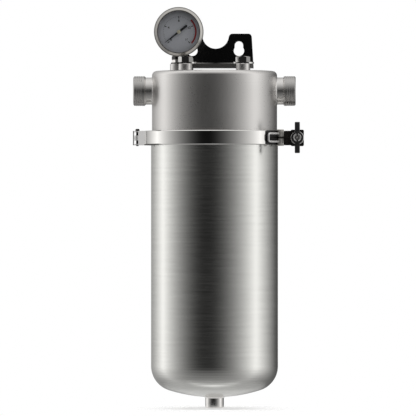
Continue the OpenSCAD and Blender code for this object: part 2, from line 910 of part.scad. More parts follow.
// Moulded handle: a stepped hub and two wings, bridged across its face
module screw_handle() {
    hub_r = knob_d / 2;
    neck_r = hub_r - 1.2;
    bevel = 0.7;
    slope = 1.5;
    neck_back = 2;
    step = wing_start - neck_back;
    wing_root = insert_r + lap;
    wing_end = wing_span / 2;
    tip_bevel = 1;
    rib_w = 1.8;
    rib_rise = 0.7;
    rib_half = hub_r - 1;
    color(black) on_screw() difference() {
        union() {
            rotate_extrude() polygon([
                [insert_r, collar_front], [neck_r, collar_front], [neck_r, step - slope], [hub_r, step],
                [hub_r, knob_end - bevel], [hub_r - bevel, knob_end], [insert_r, knob_end]
            ]);
            for (side = [-1, 1]) translate([0, 0, wing_start]) linear_extrude(wing_t) polygon([
                [-wing_w / 2, side * wing_root], [wing_w / 2, side * wing_root],
                [wing_w / 2, side * (wing_end - tip_bevel)], [wing_w / 2 - tip_bevel, side * wing_end],
                [-wing_w / 2 + tip_bevel, side * wing_end], [-wing_w / 2, side * (wing_end - tip_bevel)]
            ]);
            translate([-rib_w / 2, -rib_half, knob_end - bevel]) cube([rib_w, 2 * rib_half, bevel + rib_rise]);
        }
        translate([0, 0, washer_front]) cylinder(r = insert_r, h = knob_end - washer_front);
    }
}

// Steel bush moulded into the handle, with a collar that bears on the square washer
module handle_insert() {
    collar_r = collar_d / 2;
    edge = 0.6;
    color(bright) on_screw() rotate_extrude() polygon([
        [screw_root_r, washer_front], [collar_r, washer_front], [collar_r, collar_front - edge],
        [collar_r - edge, collar_front], [insert_r, collar_front], [insert_r, knob_end - edge],
        [insert_r - edge, knob_end], [screw_root_r, knob_end]
    ]);
}

// Screw with its shank at the thread's root
module clamp_screw() {
    tip = ear_front - tip_back;
    bevel = 1;
    color(brushed) on_screw() rotate_extrude() polygon([
        [0, -tip], [screw_root_r - bevel, -tip], [screw_root_r, -tip + bevel],
        [screw_root_r, knob_end], [0, knob_end]
    ]);
}

// Places a shape in the gauge's own frame
module on_gauge() {
    translate([-gauge_x, 0, gauge_z]) to_front() children();
}

module gauge_case() {
    edge = 2.4;
    inner = case_r - case_wall;
    color(steel) on_gauge() difference() {
        rotate_extrude() difference() {
            polygon(concat(
                [[0, case_front], [0, case_back]],
                arc(case_r - edge, case_back + edge, edge, -90, 0, 5),
                [[case_r, case_front]]
            ));
            polygon(concat(
                [[-lap, case_front + lap], [-lap, case_back + case_wall]],
                arc(inner - edge + case_wall, case_back + edge, edge - case_wall, -90, 0, 5),
                [[inner, case_front + lap]]
            ));
        }
        rotate([90, 0, 0]) cylinder(r = gauge_thread_d / 2 + fit_gap, h = case_r + lap);
    }
}

// Ring with a sloping face and a small rounded lip, rolled over the window
module gauge_bezel() {
    outer = gauge_d / 2;
    edge_r = 0.7;
    lip_r = 0.5;
    slope_z = bezel_front - bezel_slope;
    lip_x = dial_open_r + lip_r;
    seat = case_front + window_t;
    color(bright) on_gauge() rotate_extrude() polygon(concat(
        [[case_r + shaft_gap, bezel_back], [outer, bezel_back]],
        arc(outer - edge_r, slope_z, edge_r, 0, 45, 3),
        arc(lip_x, bezel_front - lip_r, lip_r, 45, 180, 6),
        [[dial_open_r, seat], [case_r + shaft_gap, seat]]
    ));
}

module gauge_window() {
    color([0.85, 0.92, 0.95, 0.35]) on_gauge() translate([0, 0, case_front])
        cylinder(r = case_r - fit_gap, h = window_t);
}

module gauge_dial() {
    dial_bore_r = 1.6;
    color(white) on_gauge() translate([0, 0, dial_z])
        ring(case_r - case_wall - fit_gap, dial_bore_r, dial_t);
}

// Pointer at rest, low on the left, with its tail on the other side of the shaft
module gauge_pointer() {
    rest_angle = 218;
    tail_l = 11.8;
    tail_half = 1.2;
    neck_half = 1;
    tip_half = 0.25;
    color(black) on_gauge() translate([0, 0, pointer_z]) linear_extrude(pointer_t) difference() {
        rotate([0, 0, rest_angle]) polygon(concat(
            [[0, -neck_half], [pointer_l, -tip_half], [pointer_l, tip_half], [0, neck_half]],
            arc(-tail_l + tail_half, 0, tail_half, 90, 270, 6)
        ));
        circle(r = shaft_r);
    }
}

// Pointer shaft with its brass hub, through the dial and the movement's plates
module pointer_hub() {
    hub_r = 2;
    low = -movement_r / 2 - lap;
    face = pointer_z + pointer_t;
    cap_side = 0.5;
    cap_h = 0.9;
    cap_bevel = 0.7;
    color(brass) on_gauge() rotate_extrude() polygon([
        [0, low], [shaft_r, low], [shaft_r, face], [hub_r, face], [hub_r, face + cap_side],
        [hub_r - cap_bevel, face + cap_h], [0, face + cap_h]
    ]);
}

module gauge_seal() {
    color(rubber) translate([-gauge_x, 0, top_z + gauge_boss_h])
        ring(gauge_boss_d / 2 - seal_rim, gauge_thread_d / 2, seal_t);
}

// Socket of the gauge: thread, hexagon, neck and the block that carries the tube
module gauge_stem() {
    seat = top_z + gauge_boss_h + seal_t;
    thread_r = gauge_thread_d / 2 - shank_gap;
    thread_l = gauge_boss_h + seal_t + head_wall;
    hex_h = gauge_z - case_r - seat - run_gap;
    neck_top = gauge_z + block_top;
    neck_l = thread_l + neck_top - block_h + lap - seat;
    bore_r = 2;
    color(dark) translate([-gauge_x, 0, 0]) difference() {
        union() {
            translate([0, 0, seat - thread_l]) cylinder(r = thread_r, h = neck_l);
            translate([0, 0, seat]) hex(stem_hex_af, hex_h);
            translate([-block_w / 2, -bourdon_w / 2 - block_rim, neck_top - block_h])
                cube([block_w, bourdon_w + 2 * block_rim, block_h]);
        }
        translate([0, 0, seat - thread_l - lap]) cylinder(r = bore_r, h = neck_l + lap);
    }
}

// Tube of the gauge, a flattened section bent round the movement from the block's side to its free tip
module bourdon_tube() {
    root = 270 - asin((block_w / 2 + fit_gap) / (bourdon_r - bourdon_t / 2));
    color(brass) on_gauge() rotate([0, 0, bourdon_tip]) rotate_extrude(angle = root - bourdon_tip)
        translate([bourdon_r - bourdon_t / 2, -bourdon_w / 2]) square([bourdon_t, bourdon_w]);
}

// Two plates on pillars that bear the pointer's shaft, and the posts under the dial
module gauge_movement() {
    back_z = -movement_r / 2;
    dial_post = 3;
    front_z = dial_z - dial_post;
    plate_h = 14;
    arm = 6;
    pillar_r = 1.4;
    pillar_rise = 2;
    foot_w = 6;
    foot_t = 4;
    wall_h = 2;
    color(brass) on_gauge() {
        difference() {
            union() {
                for (z = [back_z, front_z]) translate([-movement_w / 2, -movement_r, z])
                    cube([movement_w, plate_h, movement_t]);
                for (side = [-1, 1]) translate([side * arm, -movement_r + pillar_rise, back_z])
                    cylinder(r = pillar_r, h = dial_z - back_z);
                translate([-foot_w / 2, block_top, -foot_t / 2])
                    cube([foot_w, wall_h - movement_r - block_top, foot_t]);
            }
            translate([0, 0, back_z - lap]) cylinder(r = shaft_r + shaft_gap, h = dial_z - back_z + 2 * lap);
        }
        translate([-foot_w / 2, -movement_r, back_z]) cube([foot_w, wall_h, front_z - back_z + movement_t]);
    }
}

// Link from the tube's free end to the movement
module gauge_link() {
    lift = 2;
    link_w = 1.6;
    link_t = 1;
    near = movement_w / 2 + hole_gap;
    far = bourdon_r - bourdon_t / 2 - run_gap;
    color(steel) on_gauge() rotate([0, 0, bourdon_tip + lift]) translate([near, -link_w / 2, -link_t / 2])
        cube([far - near, link_w, link_t]);
}

// Outline of the pleats at one skin: lobes reach out, the folds between them reach in
function pleat_points(out_r, in_r, half_out, half_in) = [
    for (i = [0:pleat_count - 1]) let (a = i * 360 / pleat_count) each [
        [out_r * cos(a - half_out), out_r * sin(a - half_out)],
        [out_r * cos(a + half_out), out_r * sin(a + half_out)],
        [in_r * cos(a + half_in), in_r * sin(a + half_in)],
        [in_r * cos(a + 360 / pleat_count - half_in), in_r * sin(a + 360 / pleat_count - half_in)]
    ]
];

module element_pleats() {
    pitch = 360 / pleat_count;
    skin = mesh_t / PI * 180;
    half_out = pitch * 0.3;
    half_in = pitch * 0.38;
    color(white) translate([0, 0, cap_low_z + cap_t])
        linear_extrude(cap_high_z - cap_low_z - cap_t) difference() {
            polygon(pleat_points(pleat_out, pleat_in, half_out, half_in));
            polygon(pleat_points(
                pleat_out - mesh_t, pleat_in - mesh_t, half_out - skin / pleat_out, half_in - skin / pleat_in
            ));
        }
}

module element_core() {
    rows = 7;
    around = 6;
    h = cap_high_z - cap_low_z - cap_t;
    core_wall = 1.5;
    hole_r = 7;
    color(white) translate([0, 0, cap_low_z + cap_t]) difference() {
        ring(core_d / 2, core_d / 2 - core_wall, h);
        for (row = [1:rows], i = [0:around - 1])
            translate([0, 0, row * h / (rows + 1)]) rotate([0, 90, (i + row % 2 / 2) * 360 / around])
                translate([0, 0, core_d / 2 - core_wall - lap])
                    cylinder(r = hole_r, h = core_wall + 2 * lap);
    }
}

module element_top_cap() {
    color(dark) translate([0, 0, cap_high_z]) ring(element_d / 2, standpipe_r - gasket_half, cap_t);
}

module element_bottom_cap() {
    color(dark) translate([0, 0, cap_low_z]) cylinder(d = element_d, h = cap_t);
}

module element_top_gasket() {
    color(rubber) translate([0, 0, element_top - element_gasket_t])
        ring(standpipe_r + gasket_half, standpipe_r - gasket_half, element_gasket_t);
}

module element_bottom_gasket() {
    color(rubber) translate([0, 0, element_low])
        ring(standpipe_r + gasket_half, standpipe_r - gasket_half, element_gasket_t);
}

module spring_plate() {
    rim = 4;
    rim_gap = 6;
    outer = spring_r + rim_gap;
    color(steel) rotate_extrude() polygon([
        [0, plate_z], [outer, plate_z], [outer, plate_z - rim], [outer + plate_t, plate_z - rim],
        [outer + plate_t, plate_z + plate_t], [0, plate_z + plate_t]
    ]);
}

// Compression spring: rings of points along the coil, closed flat at both ends
module element_spring() {
    turns = 4;
    per_turn = 16;
    sides = 6;
    steps = turns * per_turn;
    wire_r = spring_wire / 2;
    low = floor_z + wire_r + fit_gap;
    rise = spring_h - 2 * (wire_r + fit_gap);
    points = [for (i = [0:steps], k = [0:sides - 1]) let (
        a = i * 360 / per_turn, b = k * 360 / sides, r = spring_r + wire_r * cos(b)
    ) [r * cos(a), r * sin(a), low + rise * i / steps + wire_r * sin(b)]];
    skin = [for (i = [0:steps - 1], k = [0:sides - 1]) let (n = (k + 1) % sides)
        [i * sides + k, i * sides + n, (i + 1) * sides + n, (i + 1) * sides + k]];
    ends = [[for (k = [sides - 1:-1:0]) k], [for (k = [0:sides - 1]) steps * sides + k]];
    color(steel) polyhedron(points = points, faces = concat(skin, ends));
}

bowl_shell();
bowl_flange();
drain_nipple();
head_shell();
head_flange();
inlet_port();
outlet_port();
outlet_crossover();
outlet_standpipe();
gauge_boss();
vent_boss_left();
vent_boss_right();
bracket_boss_left();
bracket_boss_right();
vent_plug_left();
vent_plug_right();
vent_seal_left();
vent_seal_right();
wall_bracket();
bracket_washer_left();
bracket_washer_right();
bracket_bolt_left();
bracket_bolt_right();
body_gasket();
clamp_rear_band();
rear_lug();
hinge_leaf_rear();
hinge_pin();
clamp_front_band();
front_lug();
hinge_leaf_front();
catch_plate();
catch_loop();
catch_barrel();
screw_washer();
screw_handle();
handle_insert();
clamp_screw();
gauge_case();
gauge_bezel();
gauge_window();
gauge_dial();
gauge_pointer();
pointer_hub();
gauge_stem();
gauge_seal();
bourdon_tube();
gauge_movement();
gauge_link();
element_pleats();
element_core();
element_top_cap();
element_bottom_cap();
element_top_gasket();
element_bottom_gasket();
spring_plate();
element_spring();
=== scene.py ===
"""Dresses a stainless water pre-filter housing: finishes, threads, handle, dial, welds and a studio."""

import json
import math

import bmesh
import bpy
from bpy.props import FloatProperty, FloatVectorProperty, IntProperty, PointerProperty
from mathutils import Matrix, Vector


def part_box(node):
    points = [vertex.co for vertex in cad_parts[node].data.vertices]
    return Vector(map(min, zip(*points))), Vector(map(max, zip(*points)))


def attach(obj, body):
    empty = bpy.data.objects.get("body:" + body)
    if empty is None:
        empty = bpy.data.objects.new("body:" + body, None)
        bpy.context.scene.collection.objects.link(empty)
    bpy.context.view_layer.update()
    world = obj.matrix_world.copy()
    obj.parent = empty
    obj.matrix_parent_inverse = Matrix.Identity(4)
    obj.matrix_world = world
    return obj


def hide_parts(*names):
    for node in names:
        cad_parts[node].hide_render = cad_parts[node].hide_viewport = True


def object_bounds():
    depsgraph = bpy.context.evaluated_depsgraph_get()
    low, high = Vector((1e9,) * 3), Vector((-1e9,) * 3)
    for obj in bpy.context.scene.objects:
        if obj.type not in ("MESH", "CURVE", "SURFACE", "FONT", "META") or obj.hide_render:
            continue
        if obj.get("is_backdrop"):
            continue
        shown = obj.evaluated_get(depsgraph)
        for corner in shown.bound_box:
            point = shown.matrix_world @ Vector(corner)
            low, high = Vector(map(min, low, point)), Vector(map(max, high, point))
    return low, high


bl_info = {
    "name": "Water pre-filter housing",
    "version": (1, 0, 0),
    "blender": (4, 5, 0),
    "location": "View3D > Sidebar > Pre-filter",
    "description": "Finishes, threads, dial and studio for a water pre-filter housing",
    "category": "Object",
}

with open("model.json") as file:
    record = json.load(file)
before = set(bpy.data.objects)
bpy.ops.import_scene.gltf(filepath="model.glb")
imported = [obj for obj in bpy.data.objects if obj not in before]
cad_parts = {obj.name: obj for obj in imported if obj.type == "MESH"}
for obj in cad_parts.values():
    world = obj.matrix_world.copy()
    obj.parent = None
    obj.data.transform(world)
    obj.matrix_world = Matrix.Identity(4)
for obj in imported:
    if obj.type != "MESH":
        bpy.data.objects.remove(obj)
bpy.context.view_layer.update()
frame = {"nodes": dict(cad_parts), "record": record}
MM = 0.001


def mount(name):
    """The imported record's mount of that name."""
    return next(m for m in frame["record"]["mounts"] if m["name"] == name)


def middle(node):
    """Centre of a CAD node's box."""
    low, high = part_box(node)
    return (Vector(low) + Vector(high)) / 2


def half_width(node):
    """Half the width of a CAD node's box, across."""
    low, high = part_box(node)
    return (high[0] - low[0]) / 2


# Sizes on the solids that their boxes don't tell
DOME_HEIGHT = 34 * MM
HEAD_RINGS = 22 * MM
COLLAR_LENGTH = 12.6 * MM
# Height and start of the painted shadow strip on the front band
SHADOW_STRIP_HEIGHT = 1.5 * MM
SHADOW_STRIP_FROM = 58 * MM
STEM_BRIGHT = 4.6 * MM
BEND_HEIGHT = 5.4 * MM
FLANGE_HEIGHT = 4.2 * MM
BEZEL_RING = 4.4 * MM
BEZEL_ROLL = 1.2 * MM
DIAL_RIM = 18.5 * MM
DIAL_HIGH = 6 * MM

# Places on the solids
PORT_Z = mount("inlet_thread")["pos_m"][2]
PORT_END = -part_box("inlet_port")[0][0]
PORT_INNER = -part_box("inlet_port")[1][0]
HEAD_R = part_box("head_shell")[1][0]
TOP_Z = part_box("head_shell")[1][2]
DOME_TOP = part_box("bowl_shell")[0][2] + DOME_HEIGHT
JOINT_Z = middle("body_gasket")[2]
SCREW_X = middle("screw_washer")[0]
BRACKET_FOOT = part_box("wall_bracket")[0][2]
BAND_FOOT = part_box("clamp_front_band")[0][2]
STEM_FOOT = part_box("gauge_boss")[1][2]
GAUGE = Vector((middle("gauge_window")[0], 0, middle("gauge_window")[2]))
DIAL_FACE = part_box("gauge_dial")[0][1]
BEZEL_R = half_width("gauge_bezel")
DIAL_OPEN_R = BEZEL_R - BEZEL_RING

# How fast one finish gives way to another, for each metre
CRISP = 2500
GENTLE = 60

# Tints that a finish takes at one place
# Painted shade: the bowl's steel darkens toward the bottom of its dome
PAINTED_DOME_SHADE = (0.1, 0.1, 0.1)
COLLAR_SHADE = (0.22, 0.215, 0.21)
# Painted shadow along the front band's lower edge at its hinged end
BAND_FOOT_SHADOW = (0.04, 0.04, 0.04)
PARTING_SHADE = (0.03, 0.028, 0.025)
# Painted light: grey standing in for the light the bracket's flange catches at its front edge
FLANGE_PAINTED_LIGHT = (0.085, 0.083, 0.08)
# Painted highlight along the bracket's inner bend
BEND_HIGHLIGHT = (0.75, 0.74, 0.72)
GLASS_SMEAR = (0.10, 0.11, 0.12)

# The dial's scale and its red arc in degrees from the right, and its numbers
SCALE_START = 225
SCALE_SWEEP = -270
ARC_START = 45
ARC_END = -42
SCALE_NUMBERS = ("0", "4", "8", "12", "16")

# Places of the soft lights, in degrees from the front to the right
LEFT_AT = -107
RIGHT_AT = 82
BACK_AT = -170


def length(label, note, default):
    """A size in metres."""
    return FloatProperty(name=label, description=note, default=default, min=0, unit="LENGTH")


def tint(label, note, default):
    """A colour."""
    return FloatVectorProperty(
        name=label, description=note, default=default, size=3, min=0, max=1, subtype="COLOR")


def number(label, note, default):
    """A plain number."""
    return FloatProperty(name=label, description=note, default=default)


class FilterSizes(bpy.types.PropertyGroup):
    """Sizes of the threads, welds, dial print and broken edges."""

    thread_pitch: length("Port thread pitch", "Rise of the port thread for one turn", 2.309 * MM)
    thread_depth: length("Port thread depth", "Depth of the port thread's grooves", 0.28 * MM)
    thread_length: length("Port thread length", "Length of the port's threaded collar", 12.5 * MM)
    neck_radius: length("Port neck radius", "Radius of the port behind its collar", 15.15 * MM)
    weld_radius: length("Weld radius", "Radius of the weld between port and head", 2.4 * MM)
    bead_radius: length("Bead radius", "Radius of the small weld beads", 0.9 * MM)
    screw_pitch: length("Screw pitch", "Rise of the closing screw for one turn", 1.25 * MM)
    arc_radius: length("Arc radius", "Radius of the red arc on the dial", 19 * MM)
    arc_width: length("Arc width", "Width of the red arc on the dial", 1.9 * MM)
    digit_height: length("Digit height", "Height of the dial's numbers", 3.4 * MM)
    edge_break: length("Edge break", "Rounding of the edges of plugs, bolts and lugs", 0.35 * MM)
    sheet_break: length("Sheet break", "Rounding of the bracket's edges", 1.1 * MM)


class FilterColours(bpy.types.PropertyGroup):
    """Colours of the finishes."""

    bowl: tint("Bowl steel", "Brushed steel of the bowl", (0.80, 0.80, 0.775))
    head: tint("Head steel", "Satin steel of the head and its fittings", (0.745, 0.73, 0.715))
    drain: tint("Drain steel", "Turned steel of the drain", (0.8195, 0.803, 0.7865))
    polished: tint("Polished steel", "Polished steel of the clamp's band", (0.84, 0.83, 0.81))
    plain: tint("Plain steel", "Machined steel of the small parts", (0.7728, 0.7636, 0.7452))
    plug: tint("Plug steel", "Steel of the hexagon plugs", (0.672, 0.664, 0.648))
    dark: tint("Dark steel", "Blackened steel of the lugs, the pin and the washer", (0.055, 0.052, 0.050))
    bezel: tint("Bezel steel", "Rolled steel of the gauge's bezel", (0.56, 0.545, 0.52))
    barrel: tint("Barrel steel", "Dull steel of the catch's barrel", (0.80, 0.78, 0.74))
    hinge: tint("Hinge steel", "Blasted steel of the hinge leaves", (0.98, 0.97, 0.96))
    wire: tint("Wire steel", "Bright steel of the catch's loop", (1.0, 0.99, 0.98))
    bush: tint("Bush steel", "Bright steel of the handle's bush", (0.96, 0.95, 0.94))
    coat: tint("Black coat", "Baked coat of the wall bracket", (0.005, 0.005, 0.005))
    catch: tint("Catch coat", "Baked coat of the catch's plate", (0.008, 0.008, 0.008))
    pointer: tint("Pointer black", "Paint of the pointer and the dial's print", (0.006, 0.006, 0.008))
    plastic: tint("Black plastic", "Moulded plastic of the handle", (0.022, 0.022, 0.022))
    rubber: tint("Black rubber", "Rubber of seals and gaskets", (0.018, 0.018, 0.018))
    caps: tint("Cap plastic", "Plastic of the element's caps", (0.045, 0.06, 0.10))
    core: tint("Core plastic", "Plastic of the element's core", (0.62, 0.62, 0.60))
    mesh: tint("Filter mesh", "Woven mesh of the element's pleats", (0.78, 0.78, 0.75))
    dial: tint("Dial", "Enamel of the gauge's dial", (0.86, 0.885, 0.95))
    glass: tint("Glass", "Faint tint of the gauge's window", (0.25, 0.27, 0.29))
    arc: tint("Red arc", "Printed arc on the dial", (0.42, 0.006, 0.012))
    brass: tint("Brass", "Brass of the gauge's tube and movement", (0.72, 0.66, 0.42))
    hub: tint("Hub brass", "Blasted brass of the pointer's hub", (1.0, 0.93, 0.72))


class StudioLight(bpy.types.PropertyGroup):
    """The studio's lights, its camera and the fineness of the turned pieces."""

    left: number("Left box", "Strength of the tall soft light on the left", 1.25)
    right: number("Right box", "Strength of the tall soft light on the right", 1.2)
    top: number("Top", "Strength of the light from above", 0.9)
    room: number("Room", "Strength of the dim light all round", 0.005)
    back: number("Back", "Strength of the room behind", 0.28)
    floor: number("Floor", "Strength of the light that the room's floor returns", 0.34)
    fade: number("Fade", "How fast a side light's grey falls, for each radian", 0.62)
    lens: number("Lens", "Focal length of the camera in millimetres", 463.8)
    turn: number("Camera turn", "Degrees from straight in front, to the right", 1.0)
    steps: IntProperty(name="Steps round", description="Facets of a full turn of a port", default=96)


class Value:
    """A number inside a node tree, for shader maths in plain Python."""

    def __init__(self, graph, socket):
        self.graph = graph
        self.socket = socket

    def combine(self, operation, *terms):
        """One Math node over these terms."""
        return self.graph.node("ShaderNodeMath", {"operation": operation}, dict(enumerate(terms)))

    def __add__(self, other):
        return self.combine("ADD", self, other)

    __radd__ = __add__

    def __sub__(self, other):
        return self.combine("SUBTRACT", self, other)

    def __rsub__(self, other):
        return self.combine("SUBTRACT", other, self)

    def __mul__(self, other):
        return self.combine("MULTIPLY", self, other)

    __rmul__ = __mul__

    def __pow__(self, power):
        return self.combine("POWER", self, power)

    def __abs__(self):
        return self.combine("ABSOLUTE", self)

    def within(self, low, high):
        """The value held between two limits."""
        return self.combine("MINIMUM", self.combine("MAXIMUM", self, low), high)

    def ramp(self, slope):
        """0 up to zero, then even up to 1, by the slope for each metre."""
        return (self * slope).within(0, 1)

    def swing(self, amount):
        """How far a noise lies from its middle, scaled."""
        return (self - 0.5) * amount


class Graph:
    """A node tree that is filled by one method."""

    def __init__(self, tree):
        self.tree = tree
        tree.nodes.clear()

    def node(self, kind, settings=None, inputs=None, output=0):
        """Adds a node: its settings, then its sockets' values or links. Gives an output, if it has any."""
        made = self.tree.nodes.new(kind)
        for name, value in (settings or {}).items():
            setattr(made, name, value)
        for name, value in (inputs or {}).items():
            if isinstance(value, Value):
                self.tree.links.new(value.socket, made.inputs[name])
            else:
                made.inputs[name].default_value = value
        return Value(self, made.outputs[output]) if made.outputs else made

    def mix(self, factor, first, second):
        """Colour between two colours."""
        settings = {"data_type": "RGBA"}
        return self.node("ShaderNodeMix", settings, {0: factor, 6: rgba(first), 7: rgba(second)}, 2)

    def stretched(self, vector, scale):
        """A place whose three axes are scaled apart."""
        return self.node("ShaderNodeVectorMath", {"operation": "MULTIPLY"}, {0: vector, 1: scale})

    def parts(self, vector):
        """The three parts of a vector."""
        split = self.node("ShaderNodeSeparateXYZ", None, {0: vector}).socket.node
        return [Value(self, socket) for socket in split.outputs]


class Finish(Graph):
    """A material whose tree ends in one Principled shader."""

    def __init__(self, name, **constants):
        self.material = bpy.data.materials.new(name)
        self.material.use_nodes = True
        super().__init__(self.material.node_tree)
        self.shader = self.node("ShaderNodeBsdfPrincipled")
        self.output = self.node("ShaderNodeOutputMaterial", None, {"Surface": self.shader})
        self.place = self.node("ShaderNodeTexCoord", None, None, "Object")
        for name, value in constants.items():
            self.shader.socket.node.inputs[name.replace("_", " ")].default_value = value

    def feed(self, name, value):
        """Links a value or colour to one of the shader's sockets."""
        self.tree.links.new(value.socket, self.shader.socket.node.inputs[name])

    def grain(self, per_metre, detail=2, roughness=0.5):
        """Soft noise with so many swells a metre, given once or for each axis."""
        scale = per_metre if isinstance(per_metre, tuple) else (per_metre,) * 3
        return self.node("ShaderNodeTexNoise", None, {
            "Vector": self.stretched(self.place, scale), "Scale": 1.0, "Detail": detail,
            "Roughness": roughness}, "Fac")

    def rough(self, value, low=0.05, high=0.7):
        """Feeds a roughness that is held between two limits."""
        self.feed("Roughness", value.within(low, high))

    def relief(self, height, strength, depth):
        """Bumps the surface by a height from 0 to 1, over a depth in metres."""
        self.feed("Normal", self.node("ShaderNodeBump", None, {
            "Strength": strength, "Distance": depth, "Height": height}))


def rgba(colour):
    """A colour with its alpha, or a link as it is."""
    return colour if isinstance(colour, Value) else (*colour[:3], 1)


def shade(colour, factor):
    """A colour made darker or lighter."""
    return tuple(min(1, part * factor) for part in colour)


def from_gauge(finish):
    """Distance from the gauge's axis, and height over it."""
    across, _, up = finish.parts(finish.place)
    across, up = across - GAUGE.x, up - GAUGE.z
    return (across ** 2.0 + up ** 2.0) ** 0.5, up


def brushed_round(name, colour, roughness, pitch, contrast, depth):
    """Steel brushed round the vessel: level streaks of two sizes over slow clouds, with painted shade
    darkening its dome toward the bottom.
    """
    finish = Finish(name, Metallic=1.0)
    streaks = finish.grain((14, 14, 1 / pitch), 4, 0.65)
    hairs = finish.grain((70, 70, 4 / pitch))
    clouds = finish.grain((11, 11, 7))
    lines = streaks * 0.65 + hairs * 0.35
    tone = (lines.swing(contrast) + clouds.swing(0.5) + 0.5).within(0, 1)
    # Painted shade over the dome, growing toward its bottom
    dome = (DOME_TOP - finish.parts(finish.place)[2]).ramp(GENTLE)
    steel = finish.mix(tone, shade(colour, 0.86), shade(colour, 1.13))
    finish.feed("Base Color", finish.mix(dome * 0.3, steel, PAINTED_DOME_SHADE))
    finish.rough(roughness + lines.swing(0.25) + clouds.swing(0.12))
    finish.relief(lines, 0.35, depth)
    return finish.material


def satin(name, colour, roughness):
    """Bead-blasted steel with faint clouds."""
    finish = Finish(name, Metallic=1.0)
    specks = finish.grain(900, 3)
    clouds = finish.grain(16, 3)
    tone = clouds * 0.6 + specks * 0.4
    finish.feed("Base Color", finish.mix(tone, shade(colour, 0.88), shade(colour, 1.12)))
    finish.rough(roughness + specks.swing(0.12) + clouds.swing(0.1))
    finish.relief(specks, 0.25, 0.04 * MM)
    return finish.material


def turned_head(name, colour, roughness):
    """Satin steel of the head, with fine turned rings near its top edge."""
    finish = Finish(name, Metallic=1.0)
    height = finish.parts(finish.place)[2]
    rings = finish.grain((8, 8, 1400), 3, 0.7)
    specks = finish.grain(800)
    clouds = finish.grain((14, 14, 10), 3)
    near_top = (height - (TOP_Z - HEAD_RINGS)).ramp(GENTLE)
    lines = rings * (0.25 + near_top * 0.75)
    tone = (lines - 0.3) * 0.7 + clouds.swing(0.5) + specks.swing(0.3) + 0.4
    finish.feed("Base Color", finish.mix(tone.within(0, 1), shade(colour, 0.87), shade(colour, 1.12)))
    finish.rough(roughness + specks.swing(0.15) + clouds.swing(0.1))
    finish.relief(lines + specks * 0.3, 0.3, 0.04 * MM)
    return finish.material


def polished(name, colour, roughness):
    """Buffed steel with faint smears and hair-fine scratches."""
    finish = Finish(name, Metallic=1.0)
    smears = finish.grain((25, 25, 60), 4, 0.6)
    hairs = finish.grain((90, 90, 3500))
    finish.feed("Base Color", finish.mix(smears, shade(colour, 0.93), shade(colour, 1.06)))
    finish.rough(roughness + smears.swing(0.12) + hairs.swing(0.08), 0.03, 0.5)
    finish.relief(hairs, 0.12, 0.02 * MM)
    return finish.material


def ringed(name, colour, roughness, pitch):
    """Turned steel with fine level rings."""
    finish = Finish(name, Metallic=1.0)
    height = finish.parts(finish.place)[2]
    turns = height * (2 * math.pi / pitch)
    rings = turns.combine("SINE", turns)
    specks = finish.grain(600, 3)
    tone = (rings * 0.25 + specks.swing(0.5) + 0.5).within(0, 1)
    finish.feed("Base Color", finish.mix(tone, shade(colour, 0.75), shade(colour, 1.15)))
    finish.rough(roughness + specks.swing(0.1), 0.04, 0.7)
    finish.relief(rings * 0.5 + 0.5, 0.1, 0.03 * MM)
    return finish.material


def collar_steel(name, colour, roughness):
    """Satin steel of a port, darker over its threaded collar."""
    finish = Finish(name, Metallic=1.0)
    out = abs(finish.parts(finish.place)[0])
    collar = (out - (PORT_END - COLLAR_LENGTH)).ramp(3000)
    specks = finish.grain(900, 3)
    clouds = finish.grain(16, 3)
    steel = finish.mix(clouds * 0.6 + specks * 0.4, shade(colour, 0.9), shade(colour, 1.1))
    finish.feed("Base Color", finish.mix(collar * 0.5, steel, COLLAR_SHADE))
    finish.rough(roughness + specks.swing(0.12))
    finish.relief(specks, 0.25, 0.04 * MM)
    return finish.material


def band_steel(name, colour, roughness):
    """Polished steel of the front band, with a painted shadow along the lower edge of its hinged end."""
    finish = Finish(name, Metallic=1.0)
    across, _, up = finish.parts(finish.place)
    smears = finish.grain((25, 25, 60), 4, 0.6)
    # Painted shadow: a dark, rougher strip along the band's lower edge, toward its hinged end
    under = (BAND_FOOT + SHADOW_STRIP_HEIGHT - up).ramp(2000)
    painted_shadow = under * (0 - across - SHADOW_STRIP_FROM).ramp(250)
    steel = finish.mix(smears, shade(colour, 0.93), shade(colour, 1.06))
    finish.feed("Base Color", finish.mix(painted_shadow * 0.9, steel, BAND_FOOT_SHADOW))
    finish.rough(roughness + smears.swing(0.12) + painted_shadow * 0.4, 0.03, 0.6)
    finish.relief(smears, 0.1, 0.02 * MM)
    return finish.material


def barrel_steel(name, colour, roughness):
    """Dull steel of the catch's barrel, worn round a dark parting at half height."""
    finish = Finish(name, Metallic=1.0)
    off = abs(finish.parts(finish.place)[2] - JOINT_Z)
    specks = finish.grain(500, 3)
    parting = (1.6 - off * 1100).within(0, 1)
    worn = ((8 - off * 1200) * 0.3).within(0, 0.45)
    dark = (parting * 0.9 + worn * specks).within(0, 0.95)
    finish.feed("Base Color", finish.mix(dark, colour, PARTING_SHADE))
    finish.rough(roughness + specks.swing(0.12))
    finish.relief(specks, 0.25, 0.04 * MM)
    return finish.material


def stem_steel(name, colour, roughness):
    """Steel of the gauge's stem: bright above its boss, blackened higher up."""
    finish = Finish(name, Metallic=1.0)
    up = finish.parts(finish.place)[2]
    specks = finish.grain(700, 3)
    bright = (STEM_FOOT + STEM_BRIGHT - up).ramp(CRISP)
    dark = bpy.context.scene.filter_colours.dark
    finish.feed("Base Color", finish.mix(bright, dark, shade(colour, 1.25)))
    finish.rough(roughness - bright * 0.14 + specks.swing(0.1))
    finish.relief(specks, 0.2, 0.03 * MM)
    return finish.material


